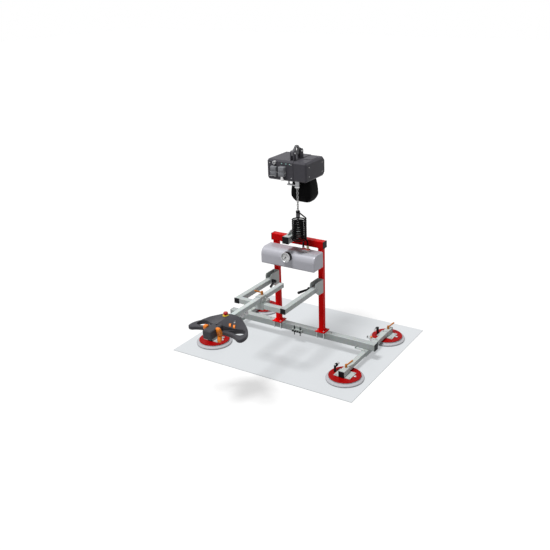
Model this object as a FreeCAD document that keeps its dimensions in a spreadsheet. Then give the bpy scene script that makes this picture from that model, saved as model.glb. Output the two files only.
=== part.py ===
import FreeCAD, Part
import math
import os
import re

import Sketcher

# Glass panel lifter: an electric chain hoist carries a red portal frame on a long square beam.
# Four suction plates hang on cross arms under the beam, and a control handle reaches forward.
# Heights are written above the panel, and the origin is the bore of the hoist's suspension eye.

SIZES = [
    # Suction plates and the arms that carry them
    ("seal_diameter", 320), ("seal_height", 27), ("seal_bore", 200), ("seal_lip", 10),
    ("disc_diameter", 272), ("disc_thickness", 8), ("disc_bevel", 2), ("mount_thickness", 5),
    ("mount_length", 150), ("mount_width", 115), ("mount_bolt_inset", 14), ("holder_size", 50),
    ("holder_length", 100), ("holder_overhang", 66), ("arm_size", 40), ("arm_wall", 3),
    ("arm_engagement", 60), ("slide_gap", 0.3), ("plate_spread_x", 1326), ("plate_spread_y", 804),
    ("sleeve_front", 60), ("sleeve_rear", 190), ("catch_width", 24), ("catch_thickness", 3),
    ("catch_reach", 62), ("catch_upturn", 18), ("valve_offset", 92), ("valve_stem_diameter", 18),
    ("valve_height", 64), ("spool_diameter", 16), ("spool_length", 62), ("valve_slide_diameter", 28),
    ("valve_slide_length", 22), ("plug_diameter", 24), ("plug_offset", 92),
    # Clamp levers
    ("lever_hub_diameter", 20), ("lever_hub_height", 24), ("lever_length", 76), ("lever_rise", 20),
    ("lever_stud_diameter", 8), ("running_gap", 0.05), ("lock_hub_diameter", 32),
    ("lock_hub_length", 26), ("lock_length", 122), ("lock_lean", 40),
    # Main beam, portal frame and the tube that hangs on the hook
    ("beam_size", 60), ("beam_wall", 4), ("beam_length", 1500), ("tube_round", 5), ("cap_flange", 5),
    ("cap_plug", 15), ("cap_gap", 0.2), ("post_size", 45), ("post_wall", 3), ("post_spread", 446),
    ("base_length", 92), ("base_width", 96), ("base_thickness", 8), ("top_beam_length", 518),
    ("frame_height", 986), ("bolt_diameter", 8), ("bolt_pitch", 68), ("nut_height", 7),
    ("bolt_tail", 5), ("hang_front", 210), ("hang_rear", 30), ("lug_thickness", 8), ("lug_height", 36),
    ("lug_tab_height", 50), ("lug_hole_diameter", 26), ("lug_hole_height", 26),
    ("manifold_length", 100), ("manifold_depth", 20), ("manifold_height", 26), ("manifold_shift", -10),
    ("manifold_drop", 10),
    ("port_diameter", 14), ("port_length", 18), ("port_pitch", 24), ("clamp_screw_length", 88),
    # Vacuum unit on the portal frame
    ("cover_length", 524), ("cover_depth", 160), ("cover_height", 141), ("cover_drop", 158),
    ("cover_setback", 12.5), ("cover_front_round", 65), ("cover_round", 14), ("cover_wall", 6),
    ("gauge_diameter", 84), ("gauge_depth", 35), ("gauge_recess", 8), ("gauge_rim", 4), ("gauge_x", 8),
    ("gauge_rise", 106), ("gauge_stem_diameter", 20), ("needle_length", 28), ("needle_width", 3),
    ("needle_thickness", 1.5), ("fitting_plate", 34), ("fitting_plate_thickness", 3), ("gland_x", 124),
    ("gland_height", 32), ("silencer_x", 81), ("silencer_height", 56),
    # Spiral hose beside the hanging tube
    ("hose_diameter", 12), ("coil_diameter", 124), ("coil_pitch", 15.8), ("coil_turns", 12),
    ("coil_gap", 1), ("coil_forward", 135), ("coil_lift", 103), ("gland_y", 56.5), ("clip_rise", 6),
    ("clip_bore", 26), ("clip_diameter", 36), ("clip_height", 16),
    # Hook and chain
    ("hook_radius", 24), ("hook_diameter", 16), ("hook_height", 74), ("swivel_diameter", 36),
    ("swivel_height", 30), ("swivel_collar", 24), ("swivel_collar_height", 6), ("chain_wire", 6),
    ("chain_pitch", 18), ("chain_width", 20), ("chain_slack", 0.2), ("chain_fall", 339.008),
    ("chain_over_wheel", 44), ("chain_pin_diameter", 5), ("latch_thickness", 3),
    ("latch_pin_diameter", 5),
    # Hoist
    ("eye_stand", 82), ("eye_bore", 36), ("eye_diameter", 64), ("eye_thickness", 16),
    ("ear_thickness", 10), ("ear_width", 40), ("eye_pin_spread", 110), ("eye_pin_diameter", 14),
    ("eye_pin_drop", 24), ("hoist_height", 170), ("hoist_left", 230), ("hoist_right", 146),
    ("hoist_seam", 22), ("hoist_front", 100), ("hoist_rear", 216), ("hoist_bevel", 28),
    ("hoist_front_bevel", 14), ("hoist_end_bevel", 14), ("seam_width", 0.6), ("seam_step", 3),
    ("chain_passage", 24), ("wheel_radius", 22.7), ("wheel_width", 24), ("wheel_rise", 36),
    ("wheel_axle", 12), ("guide_diameter", 38), ("guide_drop", 74), ("guide_arm_rise", 20),
    ("guide_arm_reach", 95), ("guide_arm_width", 24), ("guide_arm_thickness", 9), ("bag_left", 92),
    ("bag_right", 104), ("bag_front", 25), ("bag_rear", 190), ("bag_drop", 206), ("hood_width", 58),
    ("hood_height", 82), ("hood_depth", 36), ("hood_round", 8), ("hood_x", 155), ("hood_pitch", 82),
    ("hood_drop", 8), ("hood_step", 4), ("knob_x", 148), ("knob_drop", 22),
    # Operator frame and control handle
    ("frame_size", 45), ("frame_wall", 3), ("frame_front", 624), ("frame_drop", 181),
    ("pivot_reach", 130), ("pivot_tail", 35), ("pivot_bolt", 12), ("bracket_plate", 6),
    ("bracket_below", 60), ("bracket_above", 66), ("bracket_reach", 152), ("control_size", 40),
    ("control_wall", 3), ("control_rear", 284), ("clamp_wall", 6), ("clamp_length", 72),
    ("clamp_gap", 2.9), ("handle_rear", 932), ("handle_width", 504), ("handle_depth", 373),
    ("wing_drop", 62), ("wing_thickness", 32), ("wing_round", 9), ("nose_width", 80), ("nose_drop", 55),
    ("nose_height", 72), ("nose_round", 12), ("cowl_rise", 6), ("socket_depth", 60),
    ("socket_gap", 0.2), ("trigger_width", 26), ("trigger_reach", 56), ("trigger_round", 4),
    ("trigger_pin", 6), ("rocker_radius", 20), ("rocker_width", 15), ("rocker_axle", 5),
    ("rocker_turn", 30),
    ("rocker_axle_reach", 3), ("trigger_drop", 8), ("stop_diameter", 36), ("stop_head", 16),
    ("stop_stem", 14), ("stop_collar", 44), ("stop_rise", 25), ("stop_gap", 8),
]

Vector = FreeCAD.Vector
doc = FreeCAD.newDocument("glass_panel_lifter")
s = doc.addObject("Spreadsheet::Sheet", "sizes")
for row, (alias, number) in enumerate(SIZES, start=1):
    s.set("A%d" % row, str(number))
    s.setAlias("A%d" % row, alias)
doc.recompute()
ALIASES = {alias for alias, number in SIZES}
AXES = {"X": Vector(1, 0, 0), "Y": Vector(0, 1, 0), "Z": Vector(0, 0, 1),
        "-X": Vector(-1, 0, 0), "-Y": Vector(0, -1, 0), "-Z": Vector(0, 0, -1)}
nodes = []

# Heights of the main pieces, from the panel upward
disc_top = s.seal_height + s.disc_thickness
holder_bottom = disc_top + s.mount_thickness
arm_mid = holder_bottom + s.holder_size / 2
beam_bottom = holder_bottom + s.holder_size
beam_mid = beam_bottom + s.beam_size / 2
beam_top = beam_bottom + s.beam_size
base_top = beam_top + s.base_thickness
top_beam_mid = s.frame_height - s.beam_size / 2
top_beam_bottom = s.frame_height - s.beam_size
cover_bottom = top_beam_bottom - s.cover_drop
cover_top = cover_bottom + s.cover_height
gauge_height = cover_bottom + s.gauge_rise
hang_top = s.frame_height + s.beam_size
half_spread = s.post_spread / 2
frame_mid = cover_bottom - s.frame_drop
bracket_bottom = frame_mid - s.bracket_below
bracket_top = frame_mid + s.bracket_above
control_mid = frame_mid + s.frame_size / 2 + s.control_size / 2
control_mid += 2 * s.slide_gap + 2 * s.clamp_wall + s.clamp_gap
wing_bottom = control_mid - s.wing_drop
wing_top = wing_bottom + s.wing_thickness
nose_bottom = control_mid - s.nose_drop
nose_top = nose_bottom + s.nose_height
stop_height = control_mid + s.stop_rise

# Heights along the chain: the hook's bowl under the lug's hole edge, the swivel, the wheel and the hoist
bowl_inside = s.hook_radius - s.hook_diameter / 2
bowl_rise = bowl_inside - math.sqrt(bowl_inside ** 2 - (s.lug_thickness / 2) ** 2)
bowl_mid = hang_top + s.lug_hole_height + s.lug_hole_diameter / 2 - s.slide_gap - bowl_rise + bowl_inside
swivel_bottom = bowl_mid - s.hook_radius + s.hook_height
swivel_top = swivel_bottom + s.swivel_height
chain_pin_height = swivel_top + s.chain_wire * 0.8
wheel_height = chain_pin_height + s.chain_fall
hoist_bottom = wheel_height - s.wheel_rise
hoist_top = hoist_bottom + s.hoist_height
eye_height = hoist_top + s.eye_stand
eye_pin_height = eye_height - s.eye_pin_drop
guide_bottom = hoist_bottom - s.guide_drop

# The spiral hose stands beside the hanging tube, and its clip sits on the chain just above the swivel
coil_radius = (s.coil_diameter - s.hose_diameter) / 2
climb = math.atan2(s.coil_pitch, 2 * math.pi * coil_radius)
coil_x = s.beam_size / 2 + s.coil_gap + s.coil_diameter / 2
coil_y = -s.coil_forward
coil_start = cover_top + s.coil_lift
clip_height = swivel_top + 2 * s.chain_wire + s.clip_rise + s.clip_height / 2


def at(x, y, height):
    """A point of the part, given with its height above the panel."""
    return Vector(x, y, height - eye_height)


def bind(item, **sizes):
    """Tie properties to the sheet; bare words in an expression are the sheet's aliases."""
    for name, text in sizes.items():
        words = re.sub(r"[a-z][a-z_]*",
                       lambda m: "sizes." + m.group() if m.group() in ALIASES else m.group(), text)
        item.setExpression(name, words)
    item.recompute()
    return item


def block(name, length, width, height, centre):
    """A box of bound sizes about its centre."""
    item = bind(doc.addObject("Part::Box", name), Length=length, Width=width, Height=height)
    half = Vector(item.Length.Value / 2, item.Width.Value / 2, item.Height.Value / 2)
    item.Placement = FreeCAD.Placement(centre - half, FreeCAD.Rotation())
    return item


def rod(name, radius, length, start, axis):
    """A cylinder of bound sizes that starts at a point and runs along an axis."""
    item = bind(doc.addObject("Part::Cylinder", name), Radius=radius, Height=length)
    item.Placement = FreeCAD.Placement(start, FreeCAD.Rotation(AXES["Z"], AXES[axis]))
    return item


def nut(name, across, bore, height, start, axis):
    """A hexagon nut; a bore of zero makes a bolt head."""
    item = bind(doc.addObject("Part::Prism", name + "_hexagon"), Circumradius=across, Height=height)
    item.Placement = FreeCAD.Placement(start, FreeCAD.Rotation(AXES["Z"], AXES[axis]))
    if bore is None:
        return item
    return cut(name, item, rod(name + "_bore", bore, height, start, axis))


def cut(name, base, *tools):
    """The base with the tools taken out of it."""
    tool = tools[0] if len(tools) == 1 else fuse(name + "_tools", *tools)
    item = doc.addObject("Part::Cut", name)
    item.Base = base
    item.Tool = tool
    return item


def fuse(name, *items):
    """One solid from several that touch."""
    item = doc.addObject("Part::MultiFuse", name)
    item.Shapes = list(items)
    return item


def group(name, *items):
    """Several separate solids under one name."""
    item = doc.addObject("Part::Compound", name)
    item.Links = list(items)
    return item


def made(name, shape):
    """A shape that code works out from the sheet."""
    item = doc.addObject("Part::Feature", name)
    item.Shape = shape
    item.Placement = FreeCAD.Placement()
    return item


def node(item, label):
    """Enter a finished sub-part under the name of its file."""
    item.Label = label
    nodes.append(item)
    return item


def sketch_on(body, role):
    """A sketch on one of the body's own origin planes."""
    sketch = body.newObject("Sketcher::SketchObject", body.Name + "_sketch")
    plane = [feature for feature in body.Origin.OriginFeatures if feature.Role == role][0]
    sketch.AttachmentSupport = [(plane, "")]
    sketch.MapMode = "FlatFace"
    return sketch


def rectangle(sketch, tag, width, height):
    """A rectangle about the sketch's origin, with both sides bound."""
    first = sketch.GeometryCount
    corners = [Vector(-1, -1, 0), Vector(1, -1, 0), Vector(1, 1, 0), Vector(-1, 1, 0)]
    sketch.addGeometry([Part.LineSegment(corners[i], corners[(i + 1) % 4]) for i in range(4)], False)
    for i in range(4):
        sketch.addConstraint(Sketcher.Constraint("Coincident", first + i, 2, first + (i + 1) % 4, 1))
        direction = "Horizontal" if i % 2 == 0 else "Vertical"
        sketch.addConstraint(Sketcher.Constraint(direction, first + i))
    sketch.addConstraint(Sketcher.Constraint("Symmetric", first, 1, first + 1, 2, -1, 1))
    for i, side, size in ((0, "width", width), (1, "height", height)):
        kind = "DistanceX" if i == 0 else "DistanceY"
        index = sketch.addConstraint(Sketcher.Constraint(kind, first + i, 1, first + i, 2, 2.0))
        sketch.renameConstraint(index, tag + "_" + side)
        bind(sketch, **{"Constraints.%s_%s" % (tag, side): size})


def polygon(sketch, points):
    """A closed outline through points that are worked out from the sheet."""
    first = sketch.GeometryCount
    count = len(points)
    corners = [Vector(x, y, 0) for x, y in points]
    sketch.addGeometry([Part.LineSegment(corners[i], corners[(i + 1) % count]) for i in range(count)],
                       False)
    for i in range(count):
        sketch.addConstraint(Sketcher.Constraint("Coincident", first + i, 2, first + (i + 1) % count, 1))


def pad(body, sketch, length):
    """A pad of bound length, half to each side of its sketch."""
    feature = body.newObject("PartDesign::Pad", body.Name + "_pad")
    feature.Profile = sketch
    feature.SideType = "Symmetric"
    bind(feature, Length=length)
    doc.recompute()
    return feature


def edges_where(shape, test):
    """Names of a shape's edges that pass a test on their bounding box."""
    return ["Edge%d" % (i + 1) for i, edge in enumerate(shape.Edges) if test(edge.BoundBox)]


def round_edges(body, base, names, radius):
    """A fillet of bound radius on named edges of the body's last feature."""
    feature = body.newObject("PartDesign::Fillet", body.Name + "_round")
    feature.Base = (base, names)
    bind(feature, Radius=radius)
    doc.recompute()
    return feature


def bevel_edges(body, base, names, size):
    """A chamfer of bound size on named edges of the body's last feature."""
    feature = body.newObject("PartDesign::Chamfer", body.Name + "_bevel")
    feature.Base = (base, names)
    bind(feature, Size=size)
    doc.recompute()
    return feature


def square_tube(name, size, wall, length, axis, centre):
    """A square tube with rounded outer corners, about its centre."""
    body = doc.addObject("PartDesign::Body", name)
    role = {"X": "YZ_Plane", "Y": "XZ_Plane", "Z": "XY_Plane"}[axis]
    sketch = sketch_on(body, role)
    rectangle(sketch, "outer", size, size)
    rectangle(sketch, "inner", "%s - 2 * (%s)" % (size, wall), "%s - 2 * (%s)" % (size, wall))
    extrusion = pad(body, sketch, length)
    reach = max(body.Shape.BoundBox.YMax,
                body.Shape.BoundBox.XMax) if axis == "Z" else body.Shape.BoundBox.ZMax
    cross = [letter for letter in "XYZ" if letter != axis]

    def corner(box):
        middle = {"X": box.Center.x, "Y": box.Center.y, "Z": box.Center.z}
        along = {"X": box.XLength, "Y": box.YLength, "Z": box.ZLength}[axis]
        return along > 0.01 and all(abs(abs(middle[letter]) - reach) < 0.01 for letter in cross)

    round_edges(body, extrusion, edges_where(extrusion.Shape, corner), "tube_round")
    body.Placement = FreeCAD.Placement(centre, FreeCAD.Rotation())
    return body


def end_cap(name, size, wall, end, axis):
    """A plastic end cap: a flange outside the tube's end and a plug inside it."""
    outward = AXES[axis]
    letter = axis[-1]
    plug = "%s - 2 * (%s) - 2 * cap_gap" % (size, wall)
    sides = {"X": ("cap_flange", size, size), "Y": (size, "cap_flange", size),
             "Z": (size, size, "cap_flange")}
    inner = {"X": ("cap_plug", plug, plug), "Y": (plug, "cap_plug", plug), "Z": (plug, plug, "cap_plug")}
    flange = block(name + "_flange", *sides[letter], end + outward * (s.cap_flange / 2))
    inside = block(name + "_plug", *inner[letter], end - outward * (s.cap_plug / 2))
    return fuse(name, flange, inside)


def pipe(arcs, diameter):
    """A round bar along straight runs and arcs, worked out from a list of edges."""
    spine = Part.Wire(arcs)
    start = arcs[0]
    section = Part.Wire(Part.makeCircle(diameter / 2, start.valueAt(start.FirstParameter),
                                        start.tangentAt(start.FirstParameter)))
    shell = Part.BRepOffsetAPI.MakePipeShell(spine)
    shell.add(section, False, False)
    shell.build()
    shell.makeSolid()
    return shell.shape()


def line(start, end):
    return Part.LineSegment(start, end).toShape()


def tangent_arc(start, direction, end):
    """The arc that leaves a point in a direction and ends at another point."""
    chord = end - start
    heading = Vector(direction)
    heading.normalize()
    turn = heading.getAngle(chord)
    if turn < 1e-6:
        return line(start, end)
    side = heading - chord * (heading.dot(chord) / chord.dot(chord))
    side.normalize()
    middle = start + chord * 0.5 + side * (chord.Length / 2 * math.tan(turn / 2))
    return Part.Arc(start, middle, end).toShape()


def biarc(start, start_direction, end, end_direction):
    """Two arcs that join two points and keep both directions."""
    first = Vector(start_direction)
    first.normalize()
    last = Vector(end_direction)
    last.normalize()
    chord = end - start
    both = first + last
    bend = 2 * (1 - first.dot(last))
    reach = chord.dot(both)
    if bend < 1e-9:
        step = chord.dot(chord) / (2 * reach)
    else:
        step = (-reach + math.sqrt(reach * reach + bend * chord.dot(chord))) / bend
    joint = (start + end + (first - last) * step) * 0.5
    closing = tangent_arc(end, last * -1, joint)
    return [tangent_arc(start, first, joint),
            Part.Edge(closing.Curve, closing.FirstParameter, closing.LastParameter)]


def clamp_lever(name, base, axis, swing, hub_diameter, hub_length, reach, rise, stud):
    """A clamp lever: a hub on its stud and a tapered handle that leans away from the clamped face."""
    up = AXES[axis]
    out = Vector(swing)
    out.normalize()
    hub = Part.makeCylinder(hub_diameter / 2, hub_length, base, up)
    collar = Part.makeCone(hub_diameter / 2, hub_diameter * 0.38, hub_length * 0.25,
                           base + up * hub_length, up)
    root = base + up * (hub_length * 0.72)
    tip = root + out * reach + up * rise
    along = tip - root
    thin = hub_diameter * 0.26
    thick = hub_diameter * 0.36
    profile = [line(Vector(0, 0, 0), Vector(thin, 0, 0)),
               line(Vector(thin, 0, 0), Vector(thick, 0, along.Length - thick)),
               tangent_arc(Vector(thick, 0, along.Length - thick), AXES["Z"], Vector(0, 0, along.Length)),
               line(Vector(0, 0, along.Length), Vector(0, 0, 0))]
    grip = Part.Face(Part.Wire(profile)).revolve(Vector(), AXES["Z"], 360)
    grip.Placement = FreeCAD.Placement(root, FreeCAD.Rotation(AXES["Z"], along))
    shape = hub.fuse([collar, grip])
    if stud > 0:
        shape = shape.fuse(Part.makeCylinder(s.lever_stud_diameter / 2, stud, base - up * stud, up))
    return made(name, shape.removeSplitter())


# Hoist: main housing with the chain passage, the wheel chamber and the ears for the suspension eye
hoist_mid = (hoist_bottom + hoist_top) / 2
hoist_y = (s.hoist_rear - s.hoist_front) / 2
hoist_half_height = (hoist_top - hoist_bottom) / 2
hoist_half_depth = (s.hoist_rear + s.hoist_front) / 2


def hoist_section(name, shrink, left, right, bevel_left, bevel_right):
    """One housing half: a bevelled profile padded along the hoist, with its end edges bevelled."""
    body = doc.addObject("PartDesign::Body", name)
    sketch = sketch_on(body, "YZ_Plane")
    depth = hoist_half_depth - shrink
    height = hoist_half_height - shrink
    rear = s.hoist_bevel
    front = s.hoist_front_bevel
    polygon(sketch, [(-depth + front, -height), (depth - rear, -height), (depth, -height + rear),
                     (depth, height - rear), (depth - rear, height), (-depth + front, height),
                     (-depth, height - front), (-depth, -height + front)])
    extrusion = pad(body, sketch, "%s + %s" % (left, right) if left != right else left)
    half = body.Shape.BoundBox.XMax
    sides = ([-half] if bevel_left else []) + ([half] if bevel_right else [])

    def at_end(box):
        return box.XLength < 0.01 and any(abs(box.Center.x - x) < 0.01 for x in sides)

    ends = edges_where(extrusion.Shape, at_end)
    bevel_edges(body, extrusion, ends, "hoist_end_bevel")
    return body


housing_block = hoist_section("hoist_block", 0, "hoist_left", "hoist_seam", True, False)
housing_block.Placement = FreeCAD.Placement(at((s.hoist_seam - s.hoist_left) / 2, hoist_y, hoist_mid),
                                            FreeCAD.Rotation())
ears = []
for side in (-1, 1):
    for face in (-1, 1):
        x = face * (s.eye_thickness / 2 + s.slide_gap + s.ear_thickness / 2)
        y = side * s.eye_pin_spread / 2
        tall = (hoist_top + eye_pin_height) / 2
        tag = "ear_%d_%d" % (side + 1, face + 1)
        ears.append(block(tag, "ear_thickness", "ear_width", "eye_stand - eye_pin_drop", at(x, y, tall)))
        crown = at(x - s.ear_thickness / 2, y, eye_pin_height)
        ears.append(rod(tag + "_crown", "ear_width / 2", "ear_thickness", crown, "X"))
pin_bores = []
for side in (-1, 1):
    start = at(-s.eye_thickness * 2, side * s.eye_pin_spread / 2, eye_pin_height)
    pin_bores.append(rod("eye_pin_bore_%d" % (side + 1), "eye_pin_diameter / 2 + running_gap",
                         "eye_thickness * 4", start, "X"))
passage = bind(doc.addObject("Part::Cylinder", "chain_passage_bore"), Radius="chain_passage / 2",
               Height="hoist_height - hoist_front_bevel + 2")
passage.Placement = FreeCAD.Placement(at(0, 0, hoist_bottom - 2), FreeCAD.Rotation())
chamber = block("wheel_chamber", "wheel_width + 4 * slide_gap", "2 * wheel_radius", "2 * wheel_radius",
                at(0, s.wheel_radius, wheel_height))
axle_bore = rod("axle_bore", "wheel_axle / 2 + running_gap", "wheel_width + hoist_seam",
                at(-s.wheel_width / 2 - s.hoist_seam / 2, s.wheel_radius, wheel_height), "X")
hoist_body = fuse("hoist_body_solid", housing_block, *ears)
node(cut("hoist_body_cut", hoist_body, passage, chamber, axle_bore, *pin_bores), "hoist_housing")

end_cover = hoist_section("hoist_end", s.seam_step, "hoist_right - hoist_seam - seam_width",
                          "hoist_right - hoist_seam - seam_width", False, True)
end_mid = (s.hoist_right + s.hoist_seam + s.seam_width) / 2
end_cover.Placement = FreeCAD.Placement(at(end_mid, hoist_y, hoist_mid), FreeCAD.Rotation())
rib_length = "(hoist_right - hoist_seam) * 0.62"
top_rib = block("cover_top_rib", rib_length, "hoist_rear * 0.5", "2 * seam_step",
                at(end_mid, hoist_y + s.hoist_rear * 0.1, hoist_top - s.seam_step))
node(fuse("hoist_end_solid", end_cover, top_rib), "hoist_end_cover")

# Suspension eye: one plate whose round eye takes the carrying hook or trolley pin, on two cross pins
foot = s.eye_pin_spread / 2 + s.ear_width * 0.45
plate_bottom = eye_pin_height - s.ear_width * 0.45
shoulder = eye_pin_height + s.ear_width * 0.3
eye_half = s.eye_thickness / 2
outline = [at(-eye_half, -foot, plate_bottom), at(-eye_half, foot, plate_bottom),
           at(-eye_half, foot, shoulder),
           at(-eye_half, s.eye_diameter * 0.42, eye_height + s.eye_diameter * 0.22),
           at(-eye_half, -s.eye_diameter * 0.42, eye_height + s.eye_diameter * 0.22),
           at(-eye_half, -foot, shoulder)]
eye_web = Part.Face(Part.makePolygon(outline + outline[:1])).extrude(Vector(s.eye_thickness, 0, 0))
eye_ring = Part.makeCylinder(s.eye_diameter / 2, s.eye_thickness, at(-eye_half, 0, eye_height), AXES["X"])
eye_plate = eye_web.fuse(eye_ring)
eye_plate = eye_plate.cut(Part.makeCylinder(s.eye_bore / 2, s.eye_thickness,
                                            at(-eye_half, 0, eye_height), AXES["X"]))
pins = []
for side in (-1, 1):
    y = side * s.eye_pin_spread / 2
    start = at(-eye_half, y, eye_pin_height)
    pin_room = s.eye_pin_diameter / 2 + s.running_gap
    eye_plate = eye_plate.cut(Part.makeCylinder(pin_room, s.eye_thickness, start, AXES["X"]))
    reach = eye_half + s.slide_gap + s.ear_thickness + s.slide_gap
    pins.append(rod("eye_pin_%d" % (side + 1), "eye_pin_diameter / 2",
                    "eye_thickness + 2 * ear_thickness + 4 * slide_gap",
                    at(-reach, y, eye_pin_height), "X"))
node(group("eye_parts", made("eye_plate", eye_plate.removeSplitter()), *pins), "suspension_eye")

# Plug hoods, cable gland and key knob on the front of the hoist
front_y = -s.hoist_front
hood_mid = hoist_mid - s.hood_drop
hoods = []
for index, x in enumerate((-s.hood_x, s.hood_pitch - s.hood_x)):
    body = doc.addObject("PartDesign::Body", "plug_hood_%d" % (index + 1))
    sketch = sketch_on(body, "XZ_Plane")
    rectangle(sketch, "hood", "hood_width", "hood_height")
    depth = "hood_depth" if index else "hood_depth * 0.7"
    extrusion = pad(body, sketch, depth)
    front = body.Shape.BoundBox.YMin
    names = edges_where(extrusion.Shape, lambda box: abs(box.YMin - front) < 0.01)
    round_edges(body, extrusion, names, "hood_round")
    deep = s.hood_depth if index else s.hood_depth * 0.7
    body.Placement = FreeCAD.Placement(at(x, front_y - deep / 2, hood_mid + s.hood_step * index),
                                       FreeCAD.Rotation())
    hoods.append(body)
gland_top = hood_mid + s.hood_step - s.hood_height / 2
hoods.append(rod("hood_gland", "hood_width * 0.19", "hood_height * 0.45",
                 at(s.hood_pitch - s.hood_x, front_y - s.hood_depth / 2, gland_top), "-Z"))
hoods.append(rod("key_knob", "hood_width * 0.24", "hood_depth * 0.5",
                 at(-s.knob_x, front_y, hoist_top - s.knob_drop), "-Y"))
node(group("hood_parts", *hoods), "plug_hoods")

# Chain guide under the hoist: a bored bush round the chain and the flat limit lever beside it
bush = rod("guide_bush", "guide_diameter / 2", "guide_drop", at(0, 0, guide_bottom), "Z")
guide_arm = block("guide_arm", "guide_arm_reach", "guide_arm_width", "guide_arm_thickness",
                  at(-s.guide_arm_reach / 2, 0, guide_bottom + s.guide_arm_rise))
guide_post = rod("guide_post", "guide_arm_width * 0.3", "guide_drop - guide_arm_rise",
                 at(-s.guide_arm_reach + s.guide_arm_width / 2, 0, guide_bottom + s.guide_arm_rise), "Z")
guide_bore = rod("guide_bore", "chain_passage / 2", "guide_drop", at(0, 0, guide_bottom), "Z")
node(cut("guide_cut", fuse("guide_solid", bush, guide_arm, guide_post), guide_bore), "chain_guide")

# Chain bag: a soft sack that widens below its mouth and is drawn in at the bottom
bag_x = (s.bag_right - s.bag_left) / 2
bag_y = (s.bag_front + s.bag_rear) / 2
bag_width = s.bag_right + s.bag_left
bag_depth = s.bag_rear - s.bag_front


def rounded_ring(width, depth, corner, centre):
    """A closed outline of straight sides and round corners, level at its centre."""
    w = width / 2
    d = depth / 2
    c = corner
    k = c * (1 - math.sqrt(0.5))
    edges = []
    for turn, (a, b) in enumerate(((w, d), (d, w), (w, d), (d, w))):
        spin = FreeCAD.Rotation(AXES["Z"], 90 * turn)
        places = [Vector(a, -b + c, 0), Vector(a, b - c, 0), Vector(a - k, b - k, 0), Vector(a - c, b, 0)]
        places = [centre + spin.multVec(place) for place in places]
        edges.append(line(places[0], places[1]))
        edges.append(Part.Arc(places[1], places[2], places[3]).toShape())
    return Part.Wire(edges)


bag_rings = []
for drop, swell, corner in ((0, 0.8, 0.12), (0.45, 0.98, 0.16), (0.78, 1.0, 0.2), (1.0, 0.72, 0.2)):
    bag_rings.append(rounded_ring(bag_width * swell, bag_depth * swell, bag_depth * corner,
                                  at(bag_x, bag_y, hoist_bottom - s.bag_drop * drop)))
node(made("bag_form", Part.makeLoft(bag_rings, True, True)), "chain_bag")

# Hook: a round bar bent to a bowl under the lug's hole edge, with a collared shank in the swivel block


def bowl_point(angle):
    turn = math.radians(angle)
    return at(s.hook_radius * math.cos(turn), 0, bowl_mid + s.hook_radius * math.sin(turn))


hook_tip = 165
hook_neck = 380
neck = bowl_point(hook_neck)
neck_direction = Vector(-math.sin(math.radians(hook_neck)), 0, math.cos(math.radians(hook_neck)))
bowl = Part.Arc(bowl_point(hook_tip), bowl_point(270), neck).toShape()
shank_foot = at(0, 0, swivel_bottom - 6)
hook_path = [bowl] + biarc(neck, neck_direction, shank_foot, AXES["Z"])
hook = pipe(hook_path, s.hook_diameter)
hook = hook.fuse([Part.makeSphere(s.hook_diameter / 2, bowl_point(hook_tip)),
                  Part.makeCylinder(s.hook_diameter / 2, 6 + s.swivel_height * 0.6, shank_foot,
                                    AXES["Z"]),
                  Part.makeCylinder(s.swivel_collar / 2, s.swivel_collar_height,
                                    at(0, 0, swivel_bottom + s.swivel_height * 0.6
                                       - s.swivel_collar_height), AXES["Z"])])
latch_at = at(s.hook_radius * 0.45, 0, bowl_mid + s.hook_radius * 0.98)
hook = hook.cut(Part.makeCylinder(s.latch_pin_diameter / 2 + s.running_gap, 2 * s.hook_diameter,
                                  latch_at - Vector(0, s.hook_diameter, 0), AXES["Y"]))
node(made("hook_form", hook.removeSplitter()), "load_hook")

# Safety latch: two ears on a pin through the shank, and the tongue that closes the hook's mouth
ear_gap = s.hook_diameter / 2 + s.slide_gap
mouth = bowl_point(hook_tip) + Vector(s.hook_diameter * 0.62, 0, 0)
tongue_run = mouth - latch_at
tongue_angle = math.degrees(math.atan2(tongue_run.z, tongue_run.x))
latch_parts = [Part.makeCylinder(s.latch_pin_diameter / 2, 2 * (ear_gap + s.latch_thickness),
                                 latch_at - Vector(0, ear_gap + s.latch_thickness, 0), AXES["Y"])]
for side in (-1, 1):
    y = ear_gap if side > 0 else -ear_gap - s.latch_thickness
    ear = Part.makeBox(tongue_run.Length, s.latch_thickness, 2 * s.latch_pin_diameter,
                       latch_at + Vector(-s.latch_pin_diameter * 0.2, y, -s.latch_pin_diameter))
    ear.rotate(latch_at, AXES["Y"], -tongue_angle)
    latch_parts.append(ear)
bridge_start = tongue_run.Length * 0.55
bridge = Part.makeBox(tongue_run.Length - bridge_start, 2 * ear_gap, s.latch_thickness,
                      latch_at + Vector(bridge_start - s.latch_pin_diameter * 0.2, -ear_gap,
                                        s.latch_pin_diameter - s.latch_thickness))
bridge.rotate(latch_at, AXES["Y"], -tongue_angle)
latch_parts.append(bridge)
node(made("latch_form", latch_parts[0].fuse(latch_parts[1:]).removeSplitter()), "hook_latch")

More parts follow.
